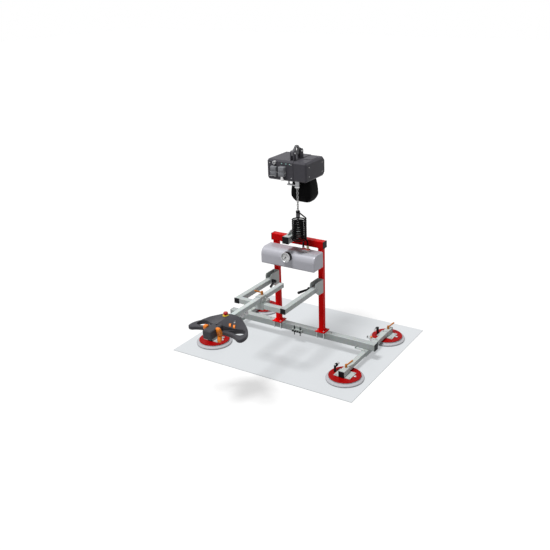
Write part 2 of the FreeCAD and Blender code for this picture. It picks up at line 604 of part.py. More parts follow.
# Swivel block: turns on the hook's collar, and carries the last chain link on a cross pin
swivel = rod("swivel_body", "swivel_diameter / 2", "swivel_height + chain_wire * 2",
             at(0, 0, swivel_bottom), "Z")
shank_bore = rod("shank_bore", "hook_diameter / 2 + running_gap", "swivel_height * 0.6",
                 at(0, 0, swivel_bottom), "Z")
collar_bore = rod("collar_bore", "swivel_collar / 2 + slide_gap", "swivel_collar_height + 2 * slide_gap",
                  at(0, 0, swivel_bottom + s.swivel_height * 0.6 - s.swivel_collar_height
                     - s.slide_gap), "Z")
link_slot = block("link_slot", "swivel_diameter + 2", "chain_wire + 4 * slide_gap", "chain_wire * 4",
                  at(0, 0, swivel_top + s.chain_wire * 0.9))
pin_hole = rod("chain_pin_bore", "chain_pin_diameter / 2 + running_gap", "swivel_diameter",
               at(0, -s.swivel_diameter / 2, chain_pin_height), "Y")
chain_pin = rod("chain_pin", "chain_pin_diameter / 2", "swivel_diameter - 4",
                at(0, 2 - s.swivel_diameter / 2, chain_pin_height), "Y")
node(group("swivel_parts", cut("swivel_cut", swivel, shank_bore, collar_bore, link_slot, pin_hole),
           chain_pin), "hook_swivel")

# Load chain: welded links, each turned a quarter from the last
link_half = s.chain_pitch / 2
bend = (s.chain_width - s.chain_wire) / 2
straight = link_half + s.chain_wire / 2 - bend
ring = [line(Vector(bend, 0, -straight), Vector(bend, 0, straight)),
        Part.Arc(Vector(bend, 0, straight), Vector(0, 0, straight + bend),
                 Vector(-bend, 0, straight)).toShape(),
        line(Vector(-bend, 0, straight), Vector(-bend, 0, -straight)),
        Part.Arc(Vector(-bend, 0, -straight), Vector(0, 0, -straight - bend),
                 Vector(bend, 0, -straight)).toShape()]
link = pipe(ring, s.chain_wire)
first_link = chain_pin_height - s.chain_pin_diameter / 2 - s.chain_slack + link_half
link_step = s.chain_pitch - s.chain_slack
last_link = int((wheel_height + s.chain_over_wheel - first_link) / link_step)
links = []
for index in range(last_link + 1):
    piece = link.copy()
    piece.rotate(Vector(), AXES["Z"], 90 * (index % 2))
    piece.translate(at(0, 0, first_link + index * link_step))
    links.append(piece)
node(made("chain_form", Part.makeCompound(links)), "load_chain")

# Load wheel: grooved for the upright links, with a pocket for each flat link, on an axle in the housing
rim = s.wheel_radius - s.chain_wire / 2 - 2 * s.slide_gap
groove = s.wheel_radius - s.chain_width / 2 - 2 * s.slide_gap
wheel_at = at(-s.wheel_width / 2, s.wheel_radius, wheel_height)
wheel = Part.makeCylinder(rim, s.wheel_width, wheel_at, AXES["X"])
track_at = wheel_at + Vector(s.wheel_width / 2 - s.chain_wire * 0.7, 0, 0)
track = Part.makeCylinder(rim + 1, s.chain_wire * 1.4, track_at, AXES["X"])
track = track.cut(Part.makeCylinder(groove, s.chain_wire * 1.4, track_at, AXES["X"]))
wheel = wheel.cut(track)
wheel_centre = wheel_at + Vector(s.wheel_width / 2, 0, 0)
mesh_phase = math.degrees((first_link - wheel_height) % (2 * link_step) / s.wheel_radius)
for pocket in range(4):
    scoop = Part.makeBox(s.chain_width * 0.9, s.chain_wire, s.chain_pitch,
                         wheel_centre - Vector(s.chain_width * 0.45, rim + s.chain_wire / 2,
                                               s.chain_pitch / 2))
    scoop.rotate(wheel_centre, AXES["X"], 90 * pocket - mesh_phase)
    wheel = wheel.cut(scoop)
axle_end = s.wheel_width / 2 + s.hoist_seam / 2 - 1
wheel = wheel.fuse(Part.makeCylinder(s.wheel_axle / 2, 2 * axle_end - s.hoist_seam / 2,
                                     wheel_centre - Vector(axle_end, 0, 0), AXES["X"]))
node(made("wheel_form", wheel.removeSplitter()), "load_wheel")

# Spiral hose: up from the gland on the vacuum unit, round and round, and across to its clip on the chain
gland_y = -s.gland_y
gland_top_height = cover_top + s.fitting_plate_thickness + s.gland_height


def coil_point(turn):
    angle = math.radians(90 + 360 * turn)
    return at(coil_x + coil_radius * math.cos(angle), coil_y + coil_radius * math.sin(angle),
              coil_start + s.coil_pitch * turn)


def coil_direction(turn):
    angle = math.radians(90 + 360 * turn)
    level = math.cos(climb)
    return Vector(-math.sin(angle) * level, math.cos(angle) * level, math.sin(climb))


gland_mouth = at(s.gland_x, gland_y, gland_top_height)
hose_path = biarc(gland_mouth, AXES["Z"], coil_point(0), coil_direction(0))
reach = math.hypot(coil_x, coil_y)
leaving = math.degrees(math.atan2(-coil_y, -coil_x) - math.acos(coil_radius / reach))
last_turn = int(s.coil_turns) + (leaving - 90) / 360
quarters = int(math.ceil(last_turn * 4))
for quarter in range(quarters):
    first = last_turn * quarter / quarters
    second = last_turn * (quarter + 1) / quarters
    hose_path += biarc(coil_point(first), coil_direction(first), coil_point(second), coil_direction(second))
clip_face = s.clip_diameter / 2 + s.slide_gap
clip_way = Vector(coil_point(last_turn).x, coil_point(last_turn).y, 0)
clip_way.normalize()
hose_end = at(0, 0, clip_height) + clip_way * clip_face
hose_bend_end = hose_end + clip_way * s.hose_diameter
hose_path += biarc(coil_point(last_turn), coil_direction(last_turn), hose_bend_end, clip_way * -1)
hose_path.append(line(hose_bend_end, hose_end))
hose = pipe(hose_path, s.hose_diameter)
node(made("hose_form", hose), "spiral_hose")
print("hose length %.1f mm, volume over section times length %.4f" % (
    sum(edge.Length for edge in hose_path),
    hose.Volume / (math.pi * s.hose_diameter ** 2 / 4 * sum(edge.Length for edge in hose_path))))
path_points = []
for edge in hose_path:
    steps = max(2, int(edge.Length / 4))
    span = edge.LastParameter - edge.FirstParameter
    path_points += [edge.valueAt(edge.FirstParameter + span * k / steps) for k in range(steps)]
apart = int(6 * s.hose_diameter / 4)
least = min((path_points[i] - path_points[j]).Length
            for i in range(len(path_points)) for j in range(i + apart, len(path_points)))
print("least gap of the hose to itself %.2f mm" % (least - s.hose_diameter))

# Hanging tube on the top beam, with a holed lug in front and the hook's tab over the beam
hang_mid = (s.hang_rear - s.hang_front) / 2
hang_tube = square_tube("hang_tube", "beam_size", "beam_wall",
                        "hang_front + hang_rear - 2 * cap_flange", "Y",
                        at(0, hang_mid, s.frame_height + s.beam_size / 2))
notch = s.beam_size * 1.14
lug_front = -s.hang_front * 0.78
lug_x = -s.lug_thickness / 2
front_lug = [(lug_front, 0), (-notch, 0), (-notch, s.lug_height), (lug_front * 0.75, s.lug_height),
             (lug_front, s.lug_height * 0.45)]
tab_half = s.lug_hole_diameter
tab_rear = min(tab_half, s.hang_rear - s.cap_flange)
hook_tab = [(-tab_half * 1.4, 0), (tab_rear, 0), (tab_half * 0.7, s.lug_tab_height),
            (-tab_half * 0.7, s.lug_tab_height)]
lugs = []
for outline in (front_lug, hook_tab):
    corners = [at(lug_x, y, hang_top + z) for y, z in outline]
    lugs.append(Part.Face(Part.makePolygon(corners + corners[:1])).extrude(Vector(s.lug_thickness, 0, 0)))
front_holes = [(lug_front * 0.82, s.lug_height * 0.4), (lug_front * 0.62, s.lug_height * 0.55)]
for y, z in front_holes:
    lugs[0] = lugs[0].cut(Part.makeCylinder(s.lug_height / 5, s.lug_thickness,
                                            at(lug_x, y, hang_top + z), AXES["X"]))
lugs[1] = lugs[1].cut(Part.makeCylinder(s.lug_hole_diameter / 2, s.lug_thickness,
                                        at(lug_x, 0, hang_top + s.lug_hole_height), AXES["X"]))
node(fuse("hang_solid", hang_tube, made("front_lug", lugs[0]), made("hook_tab", lugs[1])), "hanging_tube")

# Portal frame: top beam on two posts, each on a base plate that the U-bolts clamp to the main beam
node(square_tube("top_beam_tube", "beam_size", "beam_wall", "top_beam_length - 2 * cap_flange", "X",
                 at(0, 0, top_beam_mid)), "top_beam")
leg_y = s.beam_size / 2 + s.slide_gap + s.bolt_diameter / 2
for side, name in ((-1, "left_post"), (1, "right_post")):
    x = side * half_spread
    post_mid = (base_top + top_beam_bottom) / 2
    height = ("frame_height - 2 * beam_size - base_thickness"
              " - (seal_height + disc_thickness + mount_thickness + holder_size)")
    post = square_tube(name + "_tube", "post_size", "post_wall", height, "Z", at(x, 0, post_mid))
    base = block(name + "_base", "base_length", "base_width", "base_thickness",
                 at(x, 0, beam_top + s.base_thickness / 2))
    holes = []
    for bolt in (-1, 1):
        for leg in (-1, 1):
            place = at(x + bolt * s.bolt_pitch / 2, leg * leg_y, beam_top)
            holes.append(rod("%s_hole_%d_%d" % (name, bolt + 1, leg + 1), "bolt_diameter / 2 + cap_gap",
                             "base_thickness", place, "Z"))
    spacer = block(name + "_spacer", "post_size", "cover_setback", "cover_height * 0.55",
                   at(x, -s.post_size / 2 - s.cover_setback / 2, cover_bottom + s.cover_height / 2))
    node(cut(name + "_cut", fuse(name + "_solid", post, base, spacer), *holes), name)

# Main beam, and the plastic caps of the tubes that stay with the frame
node(square_tube("main_beam_tube", "beam_size", "beam_wall", "beam_length - 2 * cap_flange", "X",
                 at(0, 0, beam_mid)), "main_beam")
caps = []
for side, axis in ((-1, "-X"), (1, "X")):
    x = side * (s.beam_length / 2 - s.cap_flange)
    caps.append(end_cap("beam_cap_%d" % (side + 1), "beam_size", "beam_wall", at(x, 0, beam_mid), axis))
    x = side * (s.top_beam_length / 2 - s.cap_flange)
    caps.append(end_cap("top_cap_%d" % (side + 1), "beam_size", "beam_wall", at(x, 0, top_beam_mid),
                        axis))
hang_height = s.frame_height + s.beam_size / 2
caps.append(end_cap("hang_cap_front", "beam_size", "beam_wall",
                    at(0, -s.hang_front + s.cap_flange, hang_height), "-Y"))
caps.append(end_cap("hang_cap_rear", "beam_size", "beam_wall",
                    at(0, s.hang_rear - s.cap_flange, hang_height), "Y"))
node(group("cap_group", *caps), "tube_end_caps")

# U-bolts: two round each side of a post's base, under the beam and nutted on the plate
bolts = []
bar_height = beam_bottom - s.slide_gap - s.bolt_diameter / 2
bolt_bend = s.tube_round + s.slide_gap + s.bolt_diameter / 2
leg_top = base_top + s.nut_height + s.bolt_tail
low = bar_height + bolt_bend
inner = leg_y - bolt_bend
for side in (-1, 1):
    for bolt in (-1, 1):
        x = side * half_spread + bolt * s.bolt_pitch / 2
        tag = "u_bolt_%d_%d" % (side + 1, bolt + 1)
        path = [line(at(x, -leg_y, leg_top), at(x, -leg_y, low)),
                tangent_arc(at(x, -leg_y, low), AXES["-Z"], at(x, -inner, bar_height)),
                line(at(x, -inner, bar_height), at(x, inner, bar_height)),
                tangent_arc(at(x, inner, bar_height), AXES["Y"], at(x, leg_y, low)),
                line(at(x, leg_y, low), at(x, leg_y, leg_top))]
        bolts.append(made(tag, pipe(path, s.bolt_diameter)))
        for leg in (-1, 1):
            bolts.append(nut("%s_nut_%d" % (tag, leg + 1), "bolt_diameter * 0.85",
                             "bolt_diameter / 2 + cap_gap / 2",
                             "nut_height", at(x, leg * leg_y, base_top), "Z"))
node(group("clamp_group", *bolts), "frame_clamps")

# Vacuum manifold: a block on the beam's front, with hose ports and two long clamp screws
block_y = -s.beam_size / 2 - s.manifold_depth / 2
manifold_mid = beam_mid - s.manifold_drop
manifold = block("manifold_block", "manifold_length", "manifold_depth", "manifold_height",
                 at(s.manifold_shift, block_y, manifold_mid))
pieces = []
screw_holes = []
for side in (-1, 1):
    x = s.manifold_shift + side * s.manifold_length * 0.3
    foot = at(x, block_y, manifold_mid - s.clamp_screw_length / 2)
    pieces.append(rod("clamp_screw_%d" % (side + 1), "bolt_diameter / 2", "clamp_screw_length", foot,
                      "Z"))
    screw_holes.append(rod("screw_bore_%d" % (side + 1), "bolt_diameter / 2 + running_gap",
                           "clamp_screw_length", foot, "Z"))
    for face, height in ((1, manifold_mid + s.manifold_height / 2),
                         (0, manifold_mid - s.manifold_height / 2 - s.nut_height)):
        pieces.append(nut("screw_nut_%d_%d" % (side + 1, face), "bolt_diameter * 0.85",
                          "bolt_diameter / 2 + running_gap",
                          "nut_height", at(x, block_y, height), "Z"))
for port in range(4):
    x = s.manifold_shift + (port - 1.5) * s.port_pitch
    face = at(x, -s.beam_size / 2 - s.manifold_depth, manifold_mid)
    collar = rod("port_%d_collar" % port, "port_diameter / 2", "port_length * 0.55", face, "-Y")
    neck_start = face - Vector(0, s.port_length * 0.55, 0)
    pieces.append(fuse("port_%d" % port, collar,
                       rod("port_%d_neck" % port, "port_diameter * 0.36", "port_length * 0.45",
                           neck_start, "-Y")))
node(group("manifold_group", cut("manifold_cut", manifold, *screw_holes), *pieces), "vacuum_manifold")

# Vacuum unit cover: a long box with a wide round along its top front edge, hollow inside
cover_mid_y = -s.post_size / 2 - s.cover_setback - s.cover_depth / 2
cover_mid = cover_bottom + s.cover_height / 2
shell = doc.addObject("PartDesign::Body", "cover_shell")
sketch = sketch_on(shell, "YZ_Plane")
rectangle(sketch, "cover", "cover_depth", "cover_height")
extrusion = pad(shell, sketch, "cover_length")
high = s.cover_height / 2
near = -s.cover_depth / 2
front_edge = edges_where(extrusion.Shape, lambda box: abs(box.YMax - near) < 0.01
                         and abs(box.ZMin - high) < 0.01)
rounded = round_edges(shell, extrusion, front_edge, "cover_front_round")
other_edges = edges_where(rounded.Shape, lambda box: box.XLength > 0.1 and (
    (abs(box.YMin + near) < 0.01 and abs(abs(box.Center.z) - high) < 0.01)
    or (abs(box.YMax - near) < 0.01 and abs(box.ZMax + high) < 0.01)))
rounded = round_edges(shell, rounded, other_edges, "cover_round")
half_length = s.cover_length / 2
end_edges = edges_where(rounded.Shape, lambda box: box.XLength < 0.01
                        and abs(abs(box.Center.x) - half_length) < 0.01)
round_edges(shell, rounded, end_edges, "cover_round * 0.8")
shell.Placement = FreeCAD.Placement(at(0, cover_mid_y, cover_mid), FreeCAD.Rotation())
low_room_height = s.cover_height - s.cover_front_round - s.cover_wall
low_room = block("cover_low_room", "cover_length - 2 * cover_round", "cover_depth - 2 * cover_wall",
                 "cover_height - cover_front_round - cover_wall",
                 at(0, cover_mid_y, cover_bottom + s.cover_wall + low_room_height / 2))
high_room = block("cover_high_room", "cover_length - 2 * cover_round",
                  "cover_depth - cover_front_round - cover_wall",
                  "cover_front_round - cover_wall",
                  at(0, cover_mid_y + s.cover_front_round / 2 - s.cover_wall / 2,
                     cover_top - s.cover_wall - (s.cover_front_round - s.cover_wall) / 2))
cover_front = cover_mid_y - s.cover_depth / 2
stem_hole = rod("stem_hole", "gauge_stem_diameter / 2 + cap_gap", "cover_front_round",
                at(s.gauge_x, cover_front - 1, gauge_height), "Y")
node(cut("cover_cut", shell, fuse("cover_room", low_room, high_room), stem_hole), "vacuum_cover")

# Vacuum gauge: a round case with a sunk dial, on a stem that enters the cover, and its needle
gauge_front = cover_front - s.gauge_depth
case = rod("gauge_barrel", "gauge_diameter / 2", "gauge_depth",
           at(s.gauge_x, gauge_front, gauge_height), "Y")
stem = rod("gauge_stem", "gauge_stem_diameter / 2", "gauge_depth + cover_front_round * 0.4",
           at(s.gauge_x, gauge_front + s.gauge_recess, gauge_height), "Y")
dial_room = rod("dial_room", "gauge_diameter / 2 - gauge_rim", "gauge_recess",
                at(s.gauge_x, gauge_front, gauge_height), "Y")
arbor_hole = rod("arbor_hole", "needle_width / 2 + running_gap", "gauge_recess",
                 at(s.gauge_x, gauge_front + s.gauge_recess, gauge_height), "Y")
node(cut("gauge_cut", fuse("gauge_solid", case, stem), dial_room, arbor_hole), "gauge_case")
needle_y = gauge_front + s.gauge_recess * 0.5
dial_centre = at(s.gauge_x, needle_y, gauge_height)
hub = rod("needle_hub", "needle_width", "needle_thickness", dial_centre, "Y")
arbor = rod("needle_arbor", "needle_width / 2", "gauge_recess", dial_centre, "Y")
pointer = bind(doc.addObject("Part::Box", "needle_pointer"), Length="needle_width",
               Width="needle_thickness",
               Height="needle_length")
zero_mark = FreeCAD.Rotation(AXES["Y"], -135)
pointer_tail = Vector(-s.needle_width / 2, 0, -s.needle_length * 0.2)
pointer.Placement = FreeCAD.Placement(dial_centre + zero_mark.multVec(pointer_tail), zero_mark)
node(fuse("needle_solid", hub, arbor, pointer), "gauge_needle")

# Fittings on the vacuum unit: the hose gland, a silencer beside it and the hose clip round the chain
plate_top = cover_top + s.fitting_plate_thickness
fittings = []
for tag, x in (("gland", s.gland_x), ("silencer", s.silencer_x)):
    fittings.append(block(tag + "_plate", "fitting_plate", "fitting_plate", "fitting_plate_thickness",
                          at(x, gland_y, cover_top + s.fitting_plate_thickness / 2)))
gland_hex = nut("gland_hex", "hose_diameter * 1.05", None, "gland_height * 0.4",
                at(s.gland_x, gland_y, plate_top), "Z")
gland_neck = rod("gland_neck", "hose_diameter * 0.85", "gland_height * 0.6",
                 at(s.gland_x, gland_y, plate_top + s.gland_height * 0.4), "Z")
fittings.append(fuse("gland_solid", gland_hex, gland_neck))
silencer_hex = nut("silencer_hex", "hose_diameter * 0.95", None, "silencer_height * 0.3",
                   at(s.silencer_x, gland_y, plate_top), "Z")
silencer_body = rod("silencer_body", "hose_diameter * 0.65", "silencer_height * 0.7",
                    at(s.silencer_x, gland_y, plate_top + s.silencer_height * 0.3), "Z")
fittings.append(fuse("silencer_solid", silencer_hex, silencer_body))
clip_ring = rod("clip_ring", "clip_diameter / 2", "clip_height",
                at(0, 0, clip_height - s.clip_height / 2), "Z")
clip_pad = block("clip_pad", "clip_diameter / 2 + slide_gap", "clip_height", "clip_height",
                 at(clip_face / 2, 0, clip_height))
clip_turn = FreeCAD.Placement(Vector(), FreeCAD.Rotation(AXES["X"], clip_way))
clip_pad.Placement = clip_turn.multiply(clip_pad.Placement)
clip_hole = rod("clip_hole", "clip_bore / 2", "clip_height", at(0, 0, clip_height - s.clip_height / 2),
                "Z")
fittings.append(cut("clip_cut", fuse("clip_solid", clip_ring, clip_pad), clip_hole))
node(group("fitting_group", *fittings), "hose_fittings")

# Pivot brackets: folded U-plates on the posts, with the bolts that the operator frame tilts on
arm_half = s.frame_size / 2 + s.slide_gap
post_face = -s.post_size / 2
brackets = []
for side in (-1, 1):
    x = side * half_spread
    tag = "bracket_%d" % (side + 1)
    tall = bracket_top - bracket_bottom
    back = block(tag + "_back", "frame_size + 2 * slide_gap + 2 * bracket_plate", "bracket_plate",
                 "bracket_above + bracket_below",
                 at(x, post_face - s.bracket_plate / 2, bracket_bottom + tall / 2))
    cheeks = []
    for cheek in (-1, 1):
        start = x + arm_half if cheek > 0 else x - arm_half - s.bracket_plate
        rim_points = [(post_face, bracket_bottom),
                      (-s.bracket_reach * 0.68, bracket_bottom + tall * 0.06),
                      (-s.bracket_reach, bracket_bottom + tall * 0.36),
                      (-s.bracket_reach, bracket_top - tall * 0.1),
                      (-s.bracket_reach * 0.93, bracket_top), (post_face, bracket_top)]
        corners = [at(start, y, z) for y, z in rim_points]
        sheet = Part.Face(Part.makePolygon(corners + corners[:1])).extrude(Vector(s.bracket_plate, 0, 0))
        cheeks.append(made("%s_cheek_%d" % (tag, cheek + 1), sheet))
    outer = x + side * (arm_half + s.bracket_plate)
    inner_end = x - side * (arm_half + s.bracket_plate + s.lock_hub_length * 0.55)
    outward = "X" if side > 0 else "-X"
    bolt_span = "frame_size + 2 * slide_gap + 2 * bracket_plate + lock_hub_length * 0.55"
    hole = rod(tag + "_bore", "pivot_bolt / 2 + running_gap", bolt_span,
               at(inner_end, -s.pivot_reach, frame_mid), outward)
    shaft = rod(tag + "_shaft", "pivot_bolt / 2", bolt_span,
                at(inner_end, -s.pivot_reach, frame_mid), outward)
    head = nut(tag + "_head", "pivot_bolt * 0.95", None, "pivot_bolt * 0.6",
               at(outer, -s.pivot_reach, frame_mid), outward)
    brackets.append(cut(tag, fuse(tag + "_fold", back, *cheeks), hole))
    brackets.append(fuse(tag + "_bolt", shaft, head))
node(group("bracket_group", *brackets), "pivot_brackets")

# Black locking levers on the inner ends of the pivot bolts
for side, name in ((-1, "left_lock_lever"), (1, "right_lock_lever")):
    x = side * (half_spread - arm_half - s.bracket_plate - s.slide_gap)
    inward = "-X" if side > 0 else "X"
    lever = clamp_lever(name + "_form", at(x, -s.pivot_reach, frame_mid), inward,
                        Vector(0, -1, 0),
                        s.lock_hub_diameter, s.lock_hub_length, s.lock_length, s.lock_lean, 0)
    bore = rod(name + "_bore", "pivot_bolt / 2 + running_gap", "lock_hub_length * 0.55 + slide_gap",
               at(x, -s.pivot_reach, frame_mid), inward)
    node(cut(name + "_cut", lever, bore), name)

# Operator frame: two arms and a cross bar welded into one U, capped at the front
arm_rear = -s.pivot_reach + s.pivot_tail
arm_front = -s.frame_front + s.cap_flange
arm_mid_y = (arm_rear + arm_front) / 2
bar_y = arm_front + s.frame_size / 2
arms = []
frame_caps = []
bores = []
for side in (-1, 1):
    x = side * half_spread
    tag = "frame_arm_%d" % (side + 1)
    arms.append(square_tube(tag, "frame_size", "frame_wall",
                            "frame_front - cap_flange - pivot_reach + pivot_tail", "Y",
                            at(x, arm_mid_y, frame_mid)))
    bores.append(rod(tag + "_bore", "pivot_bolt / 2 + running_gap", "frame_size + 2",
                     at(x - s.frame_size / 2 - 1, -s.pivot_reach, frame_mid), "X"))
    frame_caps.append(end_cap(tag + "_cap", "frame_size", "frame_wall",
                              at(x, arm_front, frame_mid), "-Y"))
cross_bar = square_tube("frame_cross_bar", "frame_size", "frame_wall", "post_spread - frame_size", "X",
                        at(0, bar_y, frame_mid))
node(group("frame_group", cut("frame_cut", fuse("frame_solid", *arms, cross_bar), *bores), *frame_caps),
     "operator_frame")

# Cross clamp: a sleeve along the cross bar below and a sleeve along the control tube above
bar_room = "frame_size + 2 * slide_gap"
tube_room = "control_size + 2 * slide_gap"
low_sleeve = block("clamp_low", "clamp_length", bar_room + " + 2 * clamp_wall",
                   bar_room + " + 2 * clamp_wall", at(0, bar_y, frame_mid))
high_sleeve = block("clamp_high", tube_room + " + 2 * clamp_wall", "clamp_length",
                    tube_room + " + 2 * clamp_wall",
                    at(0, bar_y, control_mid))
saddle_height = "(frame_size + control_size) / 2 + 2 * slide_gap + 2 * clamp_wall + clamp_gap"
saddle = block("clamp_saddle", tube_room + " + 2 * clamp_wall", bar_room + " + 2 * clamp_wall",
               saddle_height, at(0, bar_y, (frame_mid + control_mid) / 2))
bar_slot = block("clamp_bar_slot", "clamp_length + 2", bar_room, bar_room,
                 at(0, bar_y, frame_mid))
tube_slot = block("clamp_tube_slot", tube_room, "clamp_length + 2", tube_room, at(0, bar_y, control_mid))
clamp_roof = control_mid + s.control_size / 2 + s.slide_gap + s.clamp_wall
stud_y = bar_y + s.clamp_length * 0.28
stud_hole = rod("clamp_stud_hole", "lever_stud_diameter / 2 + running_gap", "clamp_wall + 1",
                at(0, stud_y, clamp_roof + 1), "-Z")
node(cut("clamp_cut", fuse("clamp_solid", low_sleeve, saddle, high_sleeve), bar_slot, tube_slot,
         stud_hole), "cross_clamp")
cross_lever = clamp_lever("clamp_lever_form", at(0, stud_y, clamp_roof + s.slide_gap), "Z",
                          Vector(-0.82, -0.57, 0), s.lever_hub_diameter, s.lever_hub_height,
                          s.lever_length * 0.8, s.lever_rise, s.clamp_wall + s.slide_gap)
node(cross_lever, "cross_clamp_lever")

# Control tube with its rear cap; its front end sits in the handle's socket
tube_front = -s.handle_rear - s.socket_depth
tube_rear = -s.control_rear - s.cap_flange
control = square_tube("control_tube_bar", "control_size", "control_wall",
                      "handle_rear + socket_depth - control_rear - cap_flange", "Y",
                      at(0, (tube_front + tube_rear) / 2, control_mid))
control_cap = end_cap("control_tube_cap", "control_size", "control_wall", at(0, tube_rear, control_mid),
                      "Y")
node(group("control_group", control, control_cap), "control_tube")

# Control handle: a flat winged moulding with two finger openings, a sloped cowl and a nose
half_width = s.handle_width / 2


def handle_point(across, along, height):
    """A point of the handle: across as a share of the half width, along as a share of the depth."""
    return at(across * half_width, -s.handle_rear - along * s.handle_depth, height)


wing_outline = [(0, 0), (0.4, 0.125), (0.63, 0.24), (0.82, 0.38), (0.965, 0.545), (1.0, 0.665),
                (0.965, 0.76), (0.88, 0.785), (0.75, 0.745), (0.44, 0.675), (0.15, 0.67)]
mirrored = wing_outline + [(-across, along) for across, along in reversed(wing_outline[1:])]
opening_outline = [(0.255, 0.59), (0.47, 0.5), (0.68, 0.415), (0.795, 0.445), (0.845, 0.56),
                   (0.795, 0.625), (0.65, 0.635), (0.43, 0.6)]


def smooth_face(points, height):
    """A level face inside a closed smooth curve."""
    curve = Part.BSplineCurve()
    curve.interpolate([handle_point(across, along, height) for across, along in points],
                      PeriodicFlag=True)
    return Part.Face(Part.Wire(curve.toShape()))


wing = smooth_face(mirrored, wing_bottom).extrude(Vector(0, 0, s.wing_thickness))
wing = wing.makeFillet(s.wing_round, [edge for edge in wing.Edges if edge.BoundBox.ZLength < 0.1])
for side in (-1, 1):
    hole = smooth_face([(side * across, along) for across, along in opening_outline], wing_bottom - 1)
    wing = wing.cut(hole.extrude(Vector(0, 0, s.wing_thickness + 2)))
cowl_stations = [(0.0, 0.0, 0.685, 1.0, 1.0), (0.24, 0.055, 0.575, 0.94, 0.55),
                 (0.44, 0.15, 0.5, 0.66, 0.2), (0.66, 0.27, 0.4, 0.36, 0.02),
                 (0.84, 0.42, 0.44, 0.05, 0.0)]
left_stations = [(-across, *rest) for across, *rest in reversed(cowl_stations[1:])]
crown = nose_top + s.cowl_rise - wing_top
cowl_rings = []
for across, rear, front, rise, fall in left_stations + cowl_stations:
    depth = front - rear
    floor = wing_bottom + s.wing_thickness * 0.3
    corners = [handle_point(across, rear + 0.01, floor),
               handle_point(across, rear + 0.01, wing_top + crown * rise * 0.45),
               handle_point(across, rear + depth * 0.22, wing_top + crown * rise),
               handle_point(across, rear + depth * 0.55, wing_top + crown * (rise * 0.6 + fall * 0.4)),
               handle_point(across, front, wing_top + crown * fall), handle_point(across, front, floor)]
    cowl_rings.append(Part.makePolygon(corners + corners[:1]))
cowl = Part.makeLoft(cowl_rings, True, True)
nose_rear = handle_point(0, 0.6, 0).y
nose_front = handle_point(0, 1, 0).y
nose = Part.makeBox(s.nose_width, nose_rear - nose_front, nose_top - nose_bottom,
                    at(-s.nose_width / 2, nose_front, nose_bottom))
nose = nose.makeFillet(s.nose_round,
                       [edge for edge in nose.Edges if edge.BoundBox.YMin < nose_front + 0.1])
stop_x = -0.12 * half_width
stop_y = handle_point(0, 0.25, 0).y
stop_at = at(stop_x, stop_y, wing_bottom + 4)
stop_seat = Part.makeCylinder(s.stop_collar / 2, stop_height - wing_bottom - 4, stop_at, AXES["Z"])
housing = wing.fuse([cowl, nose, stop_seat])
socket = Part.makeBox(s.control_size + 2 * s.socket_gap, s.socket_depth + s.control_size,
                      s.control_size + 2 * s.socket_gap,
                      at(-s.control_size / 2 - s.socket_gap, tube_front - s.socket_gap,
                         control_mid - s.control_size / 2 - s.socket_gap))
housing = housing.cut(socket)
stop_bore = Part.makeCylinder(s.stop_stem / 2 + s.running_gap, stop_height - wing_top + 1,
                              at(stop_x, stop_y, wing_top), AXES["Z"])
housing = housing.cut(stop_bore)
rocker_way = Vector(math.cos(math.radians(s.rocker_turn)), math.sin(math.radians(s.rocker_turn)), 0)
rockers = []
rocker_places = (("inner_rocker", 0.278, 0.472, 0.368), ("outer_rocker", 0.391, 0.441, 0.19))
for name, across, along, rise in rocker_places:
    axle = handle_point(across, along, wing_top + crown * rise)
    half = s.rocker_width / 2
    drum = Part.makeCylinder(s.rocker_radius, s.rocker_width, axle - rocker_way * half, rocker_way)
    axle_half = half + s.rocker_axle_reach
    shaft = Part.makeCylinder(s.rocker_axle / 2, 2 * axle_half, axle - rocker_way * axle_half, rocker_way)
    rockers.append((name, drum.fuse(shaft)))
    drum_room = Part.makeCylinder(s.rocker_radius + s.slide_gap, s.rocker_width + 2 * s.slide_gap,
                                  axle - rocker_way * (half + s.slide_gap), rocker_way)
    shaft_room = Part.makeCylinder(s.rocker_axle / 2 + s.running_gap, 2 * axle_half + 2 * s.slide_gap,
                                   axle - rocker_way * (axle_half + s.slide_gap), rocker_way)
    housing = housing.cut([drum_room, shaft_room])
trigger_y = handle_point(0, 0.755, 0).y
trigger_height = (wing_bottom + nose_top) / 2 - s.trigger_drop
trigger_bore = Part.makeCylinder(s.trigger_pin / 2 + s.running_gap, s.nose_width + 2,
                                 at(-s.nose_width / 2 - 1, trigger_y, trigger_height), AXES["X"])
housing = housing.cut(trigger_bore)
node(made("housing_form", housing), "control_housing")

# Triggers: rocking paddles at both sides of the nose, upper lobe for the thumb, lower for the finger
paddle = [(-0.62, 0.95), (-0.19, 1.0), (0.19, 0.29), (0.19, -0.24), (-0.1, -1.0), (-0.4, -1.07),
          (-0.29, -0.24), (-0.43, 0.29)]
for side, name in ((-1, "left_trigger"), (1, "right_trigger")):
    start = side * (s.nose_width / 2 + 2 * s.slide_gap) - (s.trigger_width if side < 0 else 0)
    corners = [at(start, trigger_y + y * s.trigger_reach, trigger_height + z * s.trigger_reach)
               for y, z in paddle]
    blade = Part.Face(Part.makePolygon(corners + corners[:1])).extrude(Vector(s.trigger_width, 0, 0))
    blade = blade.makeFillet(s.trigger_round, [edge for edge in blade.Edges if edge.BoundBox.XLength > 1])
    inner_x = side * (s.nose_width / 2 + s.trigger_width / 2)
    pin_length = s.trigger_width / 2 + s.nose_width * 0.3
    pin = Part.makeCylinder(s.trigger_pin / 2, pin_length, at(inner_x, trigger_y, trigger_height),
                            AXES["-X" if side > 0 else "X"])
    node(made(name + "_form", blade.fuse(pin).removeSplitter()), name)

